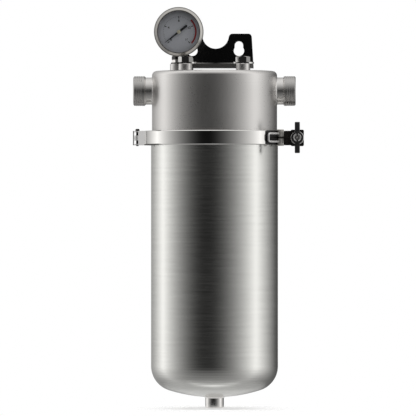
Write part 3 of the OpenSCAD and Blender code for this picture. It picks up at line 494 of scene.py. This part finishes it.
def rolled_bezel(name, colour, roughness):
    """Rolled steel of the gauge's bezel, dull, with painted shade darkening its outer and inner edges."""
    finish = Finish(name, Metallic=1.0)
    out, _ = from_gauge(finish)
    outer = (out - (BEZEL_R - BEZEL_ROLL)).ramp(CRISP)
    inner = (DIAL_OPEN_R + BEZEL_ROLL - out).ramp(CRISP)
    specks = finish.grain(900, 3)
    # Painted shade on the bezel's rolled outer edge and on its inner edge
    dark = (outer * 0.72 + inner * 0.8 + specks.swing(0.15)).within(0, 1)
    finish.feed("Base Color", finish.mix(dark, colour, shade(colour, 0.12)))
    finish.rough(roughness + specks.swing(0.15) + dark * 0.2)
    finish.relief(specks, 0.2, 0.03 * MM)
    return finish.material


def bracket_coat(name, colour, roughness):
    """Glossy baked coat of the bracket, with a painted highlight along its bend and painted light that
    lightens its flange to grey.
    """
    finish = Finish(name, Metallic=0.0, Specular_IOR_Level=0.4)
    across, _, up = finish.parts(finish.place)
    peel = finish.grain(900)
    dust = finish.grain(40, 4)
    # Painted highlight: a bright metallic strip along the inner bend, fading out toward the middle
    off_bend = abs(up - (BRACKET_FOOT + BEND_HEIGHT))
    painted_highlight = (1.5 - off_bend * 900).within(0, 1) * abs(across).ramp(45)
    # Painted light: the flange is lightened to a rougher grey where its front edge catches light
    flange = (BRACKET_FOOT + FLANGE_HEIGHT - up).ramp(CRISP)
    coat = finish.mix((dust - 0.35).within(0, 1), colour, shade(colour, 1.8))
    coat = finish.mix(flange, coat, FLANGE_PAINTED_LIGHT)
    finish.feed("Base Color", finish.mix(painted_highlight, coat, BEND_HIGHLIGHT))
    finish.feed("Metallic", painted_highlight)
    finish.rough(roughness + peel.swing(0.06) + painted_highlight * 0.15 + flange * 0.2, 0.05, 0.9)
    finish.relief(peel, 0.2, 0.02 * MM)
    return finish.material


def powder_coat(name, colour, roughness):
    """Baked coat with the fine orange peel of powder."""
    finish = Finish(name, Metallic=0.0, Specular_IOR_Level=0.5)
    peel = finish.grain(1100)
    dust = finish.grain(40, 4)
    finish.feed("Base Color", finish.mix((dust - 0.35).within(0, 1), colour, shade(colour, 2.2)))
    finish.rough(roughness + peel.swing(0.2) + dust.swing(0.15), 0.1, 0.9)
    finish.relief(peel, 0.5, 0.06 * MM)
    return finish.material


def moulded(name, colour, roughness, pits_per_metre=1500):
    """Moulded plastic or rubber with a fine matt grain."""
    finish = Finish(name, Metallic=0.0)
    pits = finish.grain(pits_per_metre, 3)
    wear = finish.grain(60, 3)
    finish.feed("Base Color", finish.mix(wear, shade(colour, 0.8), shade(colour, 1.4)))
    finish.rough(roughness + pits.swing(0.25), 0.1, 0.95)
    finish.relief(pits, 0.4, 0.05 * MM)
    return finish.material


def dial_enamel(name, colour):
    """Enamel with painted shade that darkens it toward the dial's rim and its top."""
    finish = Finish(name, Metallic=0.0, Roughness=0.45)
    out, up = from_gauge(finish)
    rim = (out - DIAL_RIM).ramp(160)
    high = (up - DIAL_HIGH).ramp(50)
    specks = finish.grain(700, 3)
    # Painted shade toward the rim and the top, deepest at the top of the rim, over random specks
    dark = (rim * 0.35 + high * rim * 0.5 + high * 0.12 + specks.swing(0.12)).within(0, 1)
    finish.feed("Base Color", finish.mix(dark, colour, shade(colour, 0.32)))
    return finish.material


def window_glass(name, colour):
    """Clear pane, which shows its own gloss and lets the dial through."""
    finish = Finish(name, Metallic=0.0, Roughness=0.03, Specular_IOR_Level=0.6, Alpha=0.06)
    smears = finish.grain(50, 3)
    finish.feed("Base Color", finish.mix(smears, GLASS_SMEAR, colour))
    return finish.material


def filter_mesh(name, colour):
    """Fine woven mesh of the pleats."""
    finish = Finish(name, Metallic=0.0)
    weave = finish.node("ShaderNodeTexWave", {"wave_type": "BANDS", "bands_direction": "Z"}, {
        "Vector": finish.place, "Scale": 320.0, "Distortion": 0.4})
    weft = finish.grain(1400)
    finish.feed("Base Color", finish.mix(weave * 0.5 + weft * 0.5, shade(colour, 0.7), shade(colour, 1.1)))
    finish.rough(0.65 + weft.swing(0.3), 0.2, 0.95)
    finish.relief(weave, 0.5, 0.1 * MM)
    return finish.material


# Each finish: how it is made, its colour, and its other settings, the roughness first
RECIPES = {
    "bowl_steel": (brushed_round, "bowl", 0.20, 2.4 * MM, 1.1, 0.01 * MM),
    "head_steel": (turned_head, "head", 0.30),
    "port_steel": (collar_steel, "head", 0.24),
    "drain_steel": (ringed, "drain", 0.10, 1.1 * MM),
    "polished_steel": (polished, "polished", 0.05),
    "band_steel": (band_steel, "polished", 0.05),
    "plain_steel": (polished, "plain", 0.22),
    "plug_steel": (polished, "plug", 0.10),
    "dark_steel": (satin, "dark", 0.38),
    "stem_steel": (stem_steel, "head", 0.38),
    "bezel_steel": (rolled_bezel, "bezel", 0.24),
    "barrel_steel": (barrel_steel, "barrel", 0.48),
    "hinge_steel": (satin, "hinge", 0.55),
    "wire_steel": (satin, "wire", 0.50),
    "bush_steel": (satin, "bush", 0.36),
    "hub_brass": (satin, "hub", 0.6),
    "brass": (polished, "brass", 0.25),
    "black_coat": (bracket_coat, "coat", 0.16),
    "catch_black": (powder_coat, "catch", 0.45),
    "pointer_black": (powder_coat, "pointer", 0.5),
    "black_plastic": (moulded, "plastic", 0.42),
    "black_rubber": (moulded, "rubber", 0.75, 900),
    "cap_plastic": (moulded, "caps", 0.45),
    "core_plastic": (moulded, "core", 0.5),
    "dial_red": (moulded, "arc", 0.5),
    "dial_face": (dial_enamel, "dial"),
    "clear_glass": (window_glass, "glass"),
    "filter_mesh": (filter_mesh, "mesh"),
}

# Solids whose finish is finer than their slot tells
OWN_FINISH = {
    "gauge_bezel": "bezel_steel", "catch_plate": "catch_black", "catch_barrel": "barrel_steel",
    "catch_loop": "wire_steel", "hinge_leaf_rear": "hinge_steel", "hinge_leaf_front": "hinge_steel",
    "vent_plug_left": "plug_steel", "vent_plug_right": "plug_steel", "drain_nipple": "drain_steel",
    "pointer_hub": "hub_brass", "gauge_stem": "stem_steel", "clamp_front_band": "band_steel",
}

# Solids whose sharp edges are broken
BROKEN_EDGES = ("bracket_bolt_left", "bracket_bolt_right", "vent_plug_left", "vent_plug_right",
                "screw_washer", "front_lug", "rear_lug", "gauge_stem")

finishes_made = {}


def finish_for(name):
    """The material of a slot or of a solid's own finish, made once."""
    if name not in finishes_made:
        maker, colour, *settings = RECIPES[name]
        colours = bpy.context.scene.filter_colours
        finishes_made[name] = maker(name, getattr(colours, colour), *settings)
    return finishes_made[name]


def add_piece(name, mesh, slot, body, nodes=(), finish=None, sharp=35):
    """Puts a mesh in the scene as a piece of the part."""
    mesh.shade_smooth()
    mesh.set_sharp_from_angle(angle=math.radians(sharp))
    mesh.materials.append(finish_for(finish or slot))
    piece = bpy.data.objects.new(name, mesh)
    bpy.context.scene.collection.objects.link(piece)
    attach(piece, body)
    if nodes:
        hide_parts(*nodes)
    return piece


def skin(name, rings, closed=False):
    """A mesh over rings of points, each ring closed on itself, with quads between neighbours."""
    around = len(rings[0])
    faces = []
    for i in range(len(rings) if closed else len(rings) - 1):
        low, high = i * around, (i + 1) % len(rings) * around
        for k in range(around):
            after = (k + 1) % around
            faces.append((low + k, low + after, high + after, high + k))
    if not closed:
        faces.append(tuple(reversed(range(around))))
        faces.append(tuple(range((len(rings) - 1) * around, len(rings) * around)))
    mesh = bpy.data.meshes.new(name)
    mesh.from_pydata([point for ring in rings for point in ring], [], faces)
    return outward(mesh)


def outward(mesh):
    """Makes every face of a closed mesh look out."""
    shape = bmesh.new()
    shape.from_mesh(mesh)
    bmesh.ops.recalc_face_normals(shape, faces=shape.faces)
    shape.to_mesh(mesh)
    shape.free()
    return mesh


def mesh_from(name, shape):
    """A mesh from a bmesh, which is used up."""
    mesh = bpy.data.meshes.new(name)
    shape.to_mesh(mesh)
    shape.free()
    return mesh


def joined(name, meshes):
    """One mesh from several, which are used up."""
    shape = bmesh.new()
    for mesh in meshes:
        shape.from_mesh(mesh)
        bpy.data.meshes.remove(mesh)
    return mesh_from(name, shape)


def turned(name, profile, place, steps, closed=True):
    """A mesh turned from a profile of (radius, along) points or functions of the turn, set out by place."""
    rings = []
    for radius, along in profile:
        ring = []
        for k in range(steps):
            angle = 2 * math.pi * k / steps
            r = radius(angle) if callable(radius) else radius
            a = along(angle) if callable(along) else along
            ring.append(place(r * math.cos(angle), r * math.sin(angle), a))
        rings.append(ring)
    return skin(name, rings, closed)


def soft_block(name, corners, bevel, place):
    """A block between two corners with rounded edges, set out by place."""
    low, high = corners
    shape = bmesh.new()
    bmesh.ops.create_cube(shape, size=1)
    for vertex in shape.verts:
        vertex.co = [low[i] + (vertex.co[i] + 0.5) * (high[i] - low[i]) for i in range(3)]
    bmesh.ops.bevel(shape, geom=shape.edges[:], offset=bevel, segments=3, profile=0.5, affect="EDGES")
    for vertex in shape.verts:
        vertex.co = place(*vertex.co)
    bmesh.ops.recalc_face_normals(shape, faces=shape.faces)
    return mesh_from(name, shape)


def rounded(radius, along, size, start, end, steps=6):
    """Points of a rounded edge in a profile, between two angles in degrees, from outward to the front."""
    turns = (math.radians(start + (end - start) * i / steps) for i in range(steps + 1))
    return [(radius + size * math.cos(t), along + size * math.sin(t)) for t in turns]


def thread_radius(root, depth, pitch, along, fade):
    """Radius of a right-hand thread with flat crests, at one place along it, as a function of the turn."""
    crest, slope = 1.25, 2.6

    def radius(angle):
        phase = (along / pitch - angle / (2 * math.pi)) % 1.0
        tooth = min(1, max(0, crest - slope * abs(phase - 0.5)))
        return root + depth * tooth * fade
    return radius


def on_head(radius, angle):
    """How far out the head's wall lies, at a radius from a port's axis and a turn round it."""
    return math.sqrt(HEAD_R ** 2 - (radius * math.sin(angle)) ** 2)


def collar_rows(sizes, thread_r, shoulder, chamfer_drop):
    """Profile of a port's collar: its chamfered end, the thread, and a plain run-out at the shoulder."""
    chamfer, runout, count = 1.0 * MM, 1.6 * MM, 64
    depth = sizes.thread_depth
    rows = []
    for i in range(count + 1):
        along = PORT_END - (PORT_END - shoulder) * i / count
        from_end = PORT_END - along
        limit = thread_r - chamfer_drop + min(1, from_end / chamfer) * chamfer_drop
        if along - shoulder < runout:
            rows.append((min(limit, thread_r), along))
            continue
        fade = min(1, from_end / runout)
        turn = thread_radius(thread_r - depth, depth, sizes.thread_pitch, along, fade)
        rows.append((lambda angle, turn=turn, limit=limit: min(turn(angle), limit), along))
    return rows


def weld_rows(neck, weld):
    """Profile of the weld that hugs the head round a port's neck, as functions of the turn."""
    spread, sink, count = 1.1, 0.4 * MM, 8
    top = math.sqrt(HEAD_R ** 2 - neck ** 2) + weld
    rows = []
    for i in range(count + 1):
        lean = i / count * math.pi / 2
        sunk = sink if i == count else 0

        def radius(angle, lean=lean):
            rise = top - on_head(neck, angle)
            return neck + spread * rise * (1 - math.cos(lean))

        def along(angle, lean=lean, radius=radius, sunk=sunk):
            rise = top - on_head(neck, angle)
            return on_head(radius(angle), angle) + rise * (1 - math.sin(lean)) - sunk

        rows.append((radius, along))
    return rows


def port_profile(sizes, thread_r, bore_r):
    """Profile of a port along its axis: bore, threaded collar, neck and weld."""
    mouth, chamfer_drop, inside = 0.4 * MM, 1.5 * MM, 5 * MM
    neck = sizes.neck_radius
    shoulder = PORT_END - sizes.thread_length
    return [
        (bore_r, PORT_INNER), (bore_r, PORT_END - mouth), (bore_r + mouth, PORT_END),
        (thread_r - chamfer_drop, PORT_END), *collar_rows(sizes, thread_r, shoulder, chamfer_drop),
        (neck, shoulder - (thread_r - neck)), *weld_rows(neck, sizes.weld_radius),
        (neck, HEAD_R - inside), (neck, PORT_INNER),
    ]


class FILTER_OT_finishes(bpy.types.Operator):
    """Gives every solid of the frame its finish."""

    bl_idname = "filter.finishes"
    bl_label = "Finish the solids"

    def execute(self, context):
        sizes = context.scene.filter_sizes
        for part in frame["record"]["subparts"]:
            node = frame["nodes"][part["node"]]
            material = finish_for(OWN_FINISH.get(part["node"], part["material_slot"]))
            if not node.material_slots:
                raise RuntimeError("no material slot on " + part["node"])
            for place in node.material_slots:
                place.material = material
        for name in BROKEN_EDGES:
            self.break_edges(name, sizes.edge_break, 2)
        self.break_edges("wall_bracket", sizes.sheet_break, 3)
        return {"FINISHED"}

    def break_edges(self, name, width, segments):
        """Rounds a solid's sharp edges by a modifier."""
        bevel = frame["nodes"][name].modifiers.new("edge softening", "BEVEL")
        bevel.width = width
        bevel.segments = segments
        bevel.limit_method = "ANGLE"
        bevel.angle_limit = math.radians(40)


class FILTER_OT_ports(bpy.types.Operator):
    """Makes the two side ports with their pipe threads and welds."""

    bl_idname = "filter.ports"
    bl_label = "Ports"

    def execute(self, context):
        sizes = context.scene.filter_sizes
        thread_r = mount("inlet_thread")["dims"]["r_mm"] * MM
        bore_r = mount("inlet_bore")["dims"]["r_mm"] * MM
        profile = port_profile(sizes, thread_r, bore_r)
        for node, side in (("inlet_port", -1), ("outlet_port", 1)):
            def place(up, out, along, side=side):
                return side * along, side * out, PORT_Z + up

            name = node + "_threaded"
            mesh = turned(name, profile, place, context.scene.studio_light.steps)
            add_piece(name, mesh, "head_steel", "housing", (node,), "port_steel")
        return {"FINISHED"}


def on_screw(across, up, along):
    """A place from the closing screw's axis, with along growing toward the front."""
    return SCREW_X + across, -along, JOINT_Z + up


class FILTER_OT_handle(bpy.types.Operator):
    """Makes the moulded handle of the closing screw, and the bush in it."""

    bl_idname = "filter.handle"
    bl_label = "Handle"

    def execute(self, context):
        low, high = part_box("screw_handle")
        back, front = -high[1], -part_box("handle_insert")[0][1]
        root, drum = half_width("clamp_screw"), half_width("screw_handle")
        bush_r = root + 1.3 * MM
        wing_half, wing_deep = 2.85 * MM, 6 * MM
        wing_start = front - 1 * MM - wing_deep
        rib_half = 0.9 * MM
        wing = ((-wing_half, bush_r + 0.8 * MM, wing_start),
                (wing_half, (high[2] - low[2]) / 2, wing_start + wing_deep))
        rib = ((-rib_half, 2.2 * MM, front - 0.7 * MM), (rib_half, drum - 1 * MM, front + 0.65 * MM))
        pieces = [self.hub(bush_r, drum, back, wing_start - 2 * MM, front)]
        for corners, bevel in ((wing, 0.9 * MM), (rib, 0.25 * MM)):
            pieces += [self.bar(side, corners, bevel) for side in (-1, 1)]
        mesh = joined("screw_handle_moulded", pieces)
        add_piece("screw_handle_moulded", mesh, "black_plastic", "handle", ("screw_handle",), sharp=50)
        bush = self.bush(root, bush_r, back, front)
        add_piece("handle_bush", bush, "polished_steel", "handle", ("handle_insert",), "bush_steel", 50)
        return {"FINISHED"}

    def hub(self, bush_r, drum, back, step, front):
        """The handle's hub: a neck, then a wider drum with a recessed face."""
        neck, flare, recess, edge, soft = drum - 1.2 * MM, 1.5 * MM, 0.5 * MM, 0.3 * MM, 0.2 * MM
        return turned("hub", [
            (bush_r, back), (neck - edge, back), (neck, back + edge), (neck, step - flare),
            (drum - soft, step), (drum, step + edge), (drum, front - 3 * edge),
            (drum - soft, front - edge), (drum - 2 * edge, front), (drum - 3 * edge, front),
            (drum - 4 * edge, front - recess), (bush_r, front - recess),
        ], on_screw, 64)

    def bar(self, side, corners, bevel):
        """A round-edged bar on the upper or lower side of the screw's axis."""
        return soft_block("bar", corners, bevel, lambda x, y, z: on_screw(x, side * y, z))

    def bush(self, root, bush_r, back, front):
        """The steel bush: a round-edged collar behind the handle, and a rounded nose in its face."""
        seat, collar_r = -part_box("handle_insert")[1][1], half_width("handle_insert")
        edge, soft, nose = 0.7 * MM, 0.2 * MM, (bush_r - root) / 2
        profile = [(root, seat), (collar_r - soft, seat), (collar_r, seat + soft)]
        profile += rounded(collar_r - edge, back - edge, edge, 0, 90)
        profile += [(bush_r, back)]
        profile += rounded(root + nose, front - nose, nose, 0, 180)
        return turned("handle_bush", profile, on_screw, 64)


class FILTER_OT_screw(bpy.types.Operator):
    """Cuts the thread of the closing screw."""

    bl_idname = "filter.screw"
    bl_label = "Closing screw"

    def execute(self, context):
        pitch = context.scene.filter_sizes.screw_pitch
        low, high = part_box("clamp_screw")
        shank = half_width("clamp_screw")
        start, stop, end = -high[1], -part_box("screw_washer")[1][1], -low[1]
        core, depth, runout, count = shank - 0.1 * MM, 0.6 * MM, 1.2 * MM, 90
        axis, tip, dimple_r, dimple = 0.02 * MM, 0.5 * MM, 0.9 * MM, 0.9 * MM
        rows = [(axis, start), (shank - 0.8 * MM, start)]
        for i in range(count + 1):
            along = start + (stop - start) * i / count
            fade = max(0, min(1, (along - start) / runout, (stop - along) / runout))
            rows.append((thread_radius(core, depth, pitch, along, fade), along))
        rows += [(shank, stop + tip), (shank, end - tip), (shank - tip, end), (dimple_r, end),
                 (0.7 * MM, end - 0.7 * MM), (axis, end - dimple)]
        mesh = turned("clamp_screw_threaded", rows, on_screw, 48, closed=False)
        add_piece("clamp_screw_threaded", mesh, "plain_steel", "handle", ("clamp_screw",))
        return {"FINISHED"}


def on_dial(x, z):
    """A place just over the dial's face, from the gauge's centre."""
    return GAUGE.x + x, DIAL_FACE - 0.03 * MM, GAUGE.z + z


def dial_sector(name, inner, outer, start, end, steps):
    """A flat ring sector on the dial, between two angles in degrees."""
    points = []
    for i in range(steps + 1):
        angle = math.radians(start + (end - start) * i / steps)
        points += [on_dial(r * math.cos(angle), r * math.sin(angle)) for r in (inner, outer)]
    faces = [(2 * i, 2 * i + 1, 2 * i + 3, 2 * i + 2) for i in range(steps)]
    mesh = bpy.data.meshes.new(name)
    mesh.from_pydata(points, [], faces)
    return mesh


def dial_number(text, x, z, height):
    """A flat number on the dial, thickened a little."""
    curve = bpy.data.curves.new("number", "FONT")
    curve.body = text
    curve.size = height
    curve.offset = height * 0.04
    curve.align_x = "CENTER"
    curve.align_y = "CENTER"
    holder = bpy.data.objects.new("number", curve)
    mesh = bpy.data.meshes.new_from_object(holder)
    bpy.data.objects.remove(holder)
    bpy.data.curves.remove(curve)
    for vertex in mesh.vertices:
        vertex.co = on_dial(x + vertex.co.x, z + vertex.co.y)
    return mesh


class FILTER_OT_dial(bpy.types.Operator):
    """Prints the scale, the numbers and the red arc on the dial."""

    bl_idname = "filter.dial"
    bl_label = "Dial print"

    def execute(self, context):
        sizes = context.scene.filter_sizes
        add_piece("dial_scale", joined("dial_scale", self.marks()), "pointer_black", "housing")
        half = sizes.arc_width / 2
        inner, outer = sizes.arc_radius - half, sizes.arc_radius + half
        arc = dial_sector("dial_red_arc", inner, outer, ARC_START, ARC_END, 32)
        add_piece("dial_red_arc", arc, "dial_face", "housing", (), "dial_red")
        numbers = joined("dial_numbers", self.numbers(sizes.digit_height))
        add_piece("dial_numbers", numbers, "pointer_black", "housing")
        return {"FINISHED"}

    def marks(self):
        """The scale's marks: long at a number, middling halfway to the next, short between."""
        outer, divisions = 17.7 * MM, 40
        marks = []
        for i in range(divisions + 1):
            angle = SCALE_START + SCALE_SWEEP * i / divisions
            at_number, halfway = i % 10 == 0, i % 5 == 0
            inner = (15.0 if at_number else 16.2 if halfway else 16.8) * MM
            half = 1.7 if at_number else 0.6
            marks.append(dial_sector("mark", inner, outer, angle + half, angle - half, 2))
        return marks

    def numbers(self, height):
        """The scale's numbers, upright and evenly spread inside its marks."""
        radius = 12.4 * MM
        numbers = []
        for i, text in enumerate(SCALE_NUMBERS):
            angle = math.radians(SCALE_START + SCALE_SWEEP * i / (len(SCALE_NUMBERS) - 1))
            numbers.append(dial_number(text, radius * math.cos(angle), radius * math.sin(angle), height))
        return numbers


class FILTER_OT_pointer(bpy.types.Operator):
    """Shapes the pointer with its tapered needle and round-ended tail."""

    bl_idname = "filter.pointer"
    bl_label = "Pointer"

    def execute(self, context):
        low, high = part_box("gauge_pointer")
        rest, reach, tail = math.radians(218), 19.7 * MM, 11.8 * MM
        tip_half, hub_half, tail_half, edge = 0.3 * MM, 1.15 * MM, 1.4 * MM, 0.12 * MM
        outline = [(reach, -tip_half), (reach, tip_half), (0, hub_half)]
        outline += rounded(tail_half - tail, 0, tail_half, 90, 270, 8)
        outline += [(0, -hub_half)]
        rings = []
        for depth, trim in ((low[1], edge), (low[1] + edge, 0), (high[1], 0)):
            ring = []
            for out, aside in outline:
                if aside:
                    aside = math.copysign(max(abs(aside) - trim, 0.1 * MM), aside)
                ring.append((GAUGE.x + out * math.cos(rest) - aside * math.sin(rest), depth,
                             GAUGE.z + out * math.sin(rest) + aside * math.cos(rest)))
            rings.append(ring)
        mesh = skin("gauge_pointer_shaped", rings)
        add_piece("gauge_pointer_shaped", mesh, "pointer_black", "pointer", ("gauge_pointer",))
        return {"FINISHED"}


def ring_of(centre, radius, turn, wide, tall):
    """Points of an upright oval section that stands on a circle, at one turn round it."""
    section = 10
    points = []
    for k in range(section):
        b = 2 * math.pi * k / section
        r = radius + wide * math.cos(b)
        points.append((centre[0] + r * math.cos(turn), centre[1] + r * math.sin(turn),
                       centre[2] + tall * math.sin(b)))
    return points


class FILTER_OT_welds(bpy.types.Operator):
    """Lays the small weld beads round the bosses."""

    bl_idname = "filter.welds"
    bl_label = "Weld beads"

    def execute(self, context):
        size = context.scene.filter_sizes.bead_radius
        beads = []
        for node in ("gauge_boss", "vent_boss_left", "vent_boss_right",
                     "bracket_boss_left", "bracket_boss_right"):
            low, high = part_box(node)
            centre = ((low[0] + high[0]) / 2, (low[1] + high[1]) / 2, low[2])
            beads.append(self.bead(centre, half_width(node), size))
        add_piece("boss_welds", joined("boss_welds", beads), "head_steel", "housing", (), "port_steel")
        return {"FINISHED"}

    def bead(self, centre, radius, size):
        """A weld bead round an upright stub: a ring whose section swells with each ripple."""
        ripples, per_ripple, swelling = 26, 6, 0.10
        around = ripples * per_ripple
        rings = []
        for i in range(around):
            turn = 2 * math.pi * i / around
            swell = size * (1 + swelling * abs(math.sin(ripples * turn / 2)))
            rings.append(ring_of(centre, radius, turn, swell * 0.9, swell * 0.75))
        return skin("bead", rings, closed=True)


class FILTER_OT_spring(bpy.types.Operator):
    """Winds the round wire of the spring under the element."""

    bl_idname = "filter.spring"
    bl_label = "Element spring"

    def execute(self, context):
        low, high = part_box("element_spring")
        wire, turns, per_turn = 1.25 * MM, 4, 32
        radius = half_width("element_spring") - wire
        steps = turns * per_turn
        rings = []
        for i in range(steps + 1):
            turn = 2 * math.pi * i / per_turn
            height = low[2] + wire + (high[2] - low[2] - 2 * wire) * i / steps
            rings.append(ring_of((0, 0, height), radius, turn, wire, wire))
        mesh = skin("element_spring_coil", rings)
        add_piece("element_spring_coil", mesh, "plain_steel", "housing", ("element_spring",), sharp=60)
        return {"FINISHED"}


class FILTER_OT_studio(bpy.types.Operator):
    """Sets the pale floor, the soft light and the camera."""

    bl_idname = "filter.studio"
    bl_label = "Studio"

    def execute(self, context):
        light = context.scene.studio_light
        self.floor(context)
        self.sky(context, light)
        camera = bpy.data.objects.new("camera", bpy.data.cameras.new("camera"))
        context.scene.collection.objects.link(camera)
        camera.data.lens = light.lens
        camera.data.sensor_width = 36
        camera.data.clip_end = 100
        turn = math.radians(light.turn)
        aside, away, height = -7.3 * MM, 6.0, 0.224
        camera.location = (aside * math.cos(turn) + away * math.sin(turn),
                           aside * math.sin(turn) - away * math.cos(turn), height)
        camera.rotation_euler = (math.radians(90), 0, turn)
        context.scene.camera = camera
        context.scene.view_settings.view_transform = "Standard"
        return {"FINISHED"}

    def floor(self, context):
        """A pale round floor that fades out before it ends, with a lit strip for the dome to mirror."""
        below = 0.4 * MM
        strip_at, strip_slope, end_slope = -61 * MM, 110, 18
        solid_out, fade_slope = 30 * MM, 16
        dull, lit = (0.46, 0.46, 0.46), (1, 1, 1)
        shape = bmesh.new()
        bmesh.ops.create_circle(shape, cap_ends=True, radius=2.0, segments=64)
        for vertex in shape.verts:
            vertex.co.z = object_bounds()[0].z - below
        mesh = mesh_from("floor", shape)
        finish = Finish("floor", Roughness=0.9, Emission_Strength=1.0)
        finish.feed("Base Color", finish.mix(finish.grain(30), (0.86, 0.86, 0.86), (0.89, 0.89, 0.89)))
        across, along, _ = finish.parts(finish.place)
        strip = (1 - abs(along - strip_at) * strip_slope).within(0, 1)
        strip = strip * (1 - abs(across) * end_slope).within(0, 1)
        finish.feed("Emission Color", finish.mix(strip, dull, lit))
        out = (across * across + along * along) ** 0.5
        fade = (out - solid_out).ramp(fade_slope) * (1 - strip)
        clear = finish.node("ShaderNodeBsdfTransparent")
        mixed = finish.node("ShaderNodeMixShader", None, {0: fade, 1: finish.shader, 2: clear})
        finish.tree.links.new(mixed.socket, finish.output.inputs["Surface"])
        mesh.materials.append(finish.material)
        floor = bpy.data.objects.new("floor", mesh)
        context.scene.collection.objects.link(floor)
        floor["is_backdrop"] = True

    def sky(self, context, light):
        """Two tall soft lights at the sides, weaker ones above, below and behind, and a white backdrop."""
        world = bpy.data.worlds.new("studio")
        world.use_nodes = True
        context.scene.world = world
        graph = Graph(world.node_tree)
        way = graph.node("ShaderNodeTexCoord", None, None, "Generated")
        level = graph.stretched(way, (1, 1, 0))
        level = graph.node("ShaderNodeVectorMath", {"operation": "NORMALIZE"}, {0: level})

        def side(azimuth, fade, curve):
            turn = math.radians(azimuth)
            settings = {"operation": "DOT_PRODUCT"}
            toward = (math.sin(turn), -math.cos(turn), 0)
            dot = graph.node("ShaderNodeVectorMath", settings, {0: level, 1: toward}, "Value")
            away = dot.combine("ARCCOSINE", dot.within(-1, 1))
            return (1 - away * fade).within(0, 1) ** curve

        height = graph.parts(way)[2]
        side_curve, back_curve, back_fade = 2.2, 2.0, 1.15
        ring = side(LEFT_AT, light.fade, side_curve) * light.left
        ring = ring + side(RIGHT_AT, light.fade, side_curve) * light.right
        ring = ring + side(BACK_AT, back_fade, back_curve) * light.back + light.room
        up = height.within(0, 1) ** 1.5
        down = (0 - height).within(0, 1)
        glow = ring * (1 - up) * (1 - down) + up * light.top + down * light.floor
        seen = graph.node("ShaderNodeLightPath", None, None, "Is Camera Ray")
        colour = graph.mix(seen, (1.0, 0.995, 0.985), (1, 1, 1))
        background = graph.node("ShaderNodeBackground", None, {
            "Color": colour, "Strength": glow * (1 - seen) + seen})
        graph.node("ShaderNodeOutputWorld", None, {"Surface": background})


class FILTER_PT_panel(bpy.types.Panel):
    """Lists the steps that dress the housing."""

    bl_idname = "FILTER_PT_panel"
    bl_label = "Pre-filter"
    bl_space_type = "VIEW_3D"
    bl_region_type = "UI"
    bl_category = "Pre-filter"

    def draw(self, context):
        for step in STEPS:
            self.layout.operator(step.bl_idname)
        for group in SETTINGS:
            settings = getattr(context.scene, group)
            box = self.layout.box()
            for name in settings.__annotations__:
                box.prop(settings, name)


SETTINGS = {"filter_sizes": FilterSizes, "filter_colours": FilterColours, "studio_light": StudioLight}
STEPS = (FILTER_OT_finishes, FILTER_OT_ports, FILTER_OT_handle, FILTER_OT_screw, FILTER_OT_dial,
         FILTER_OT_pointer, FILTER_OT_welds, FILTER_OT_spring, FILTER_OT_studio)


def register():
    """Adds the settings, the steps and the panel."""
    for cls in (*SETTINGS.values(), *STEPS, FILTER_PT_panel):
        bpy.utils.register_class(cls)
    for name, cls in SETTINGS.items():
        setattr(bpy.types.Scene, name, PointerProperty(type=cls))


def unregister():
    """Takes them away again."""
    for name in SETTINGS:
        delattr(bpy.types.Scene, name)
    for cls in reversed((*SETTINGS.values(), *STEPS, FILTER_PT_panel)):
        bpy.utils.unregister_class(cls)


def main():
    """Adds the settings, steps and panel, then runs every step."""
    register()
    for step in STEPS:
        group, name = step.bl_idname.split(".")
        getattr(getattr(bpy.ops, group), name)()


if __name__ == "__main__":
    main()
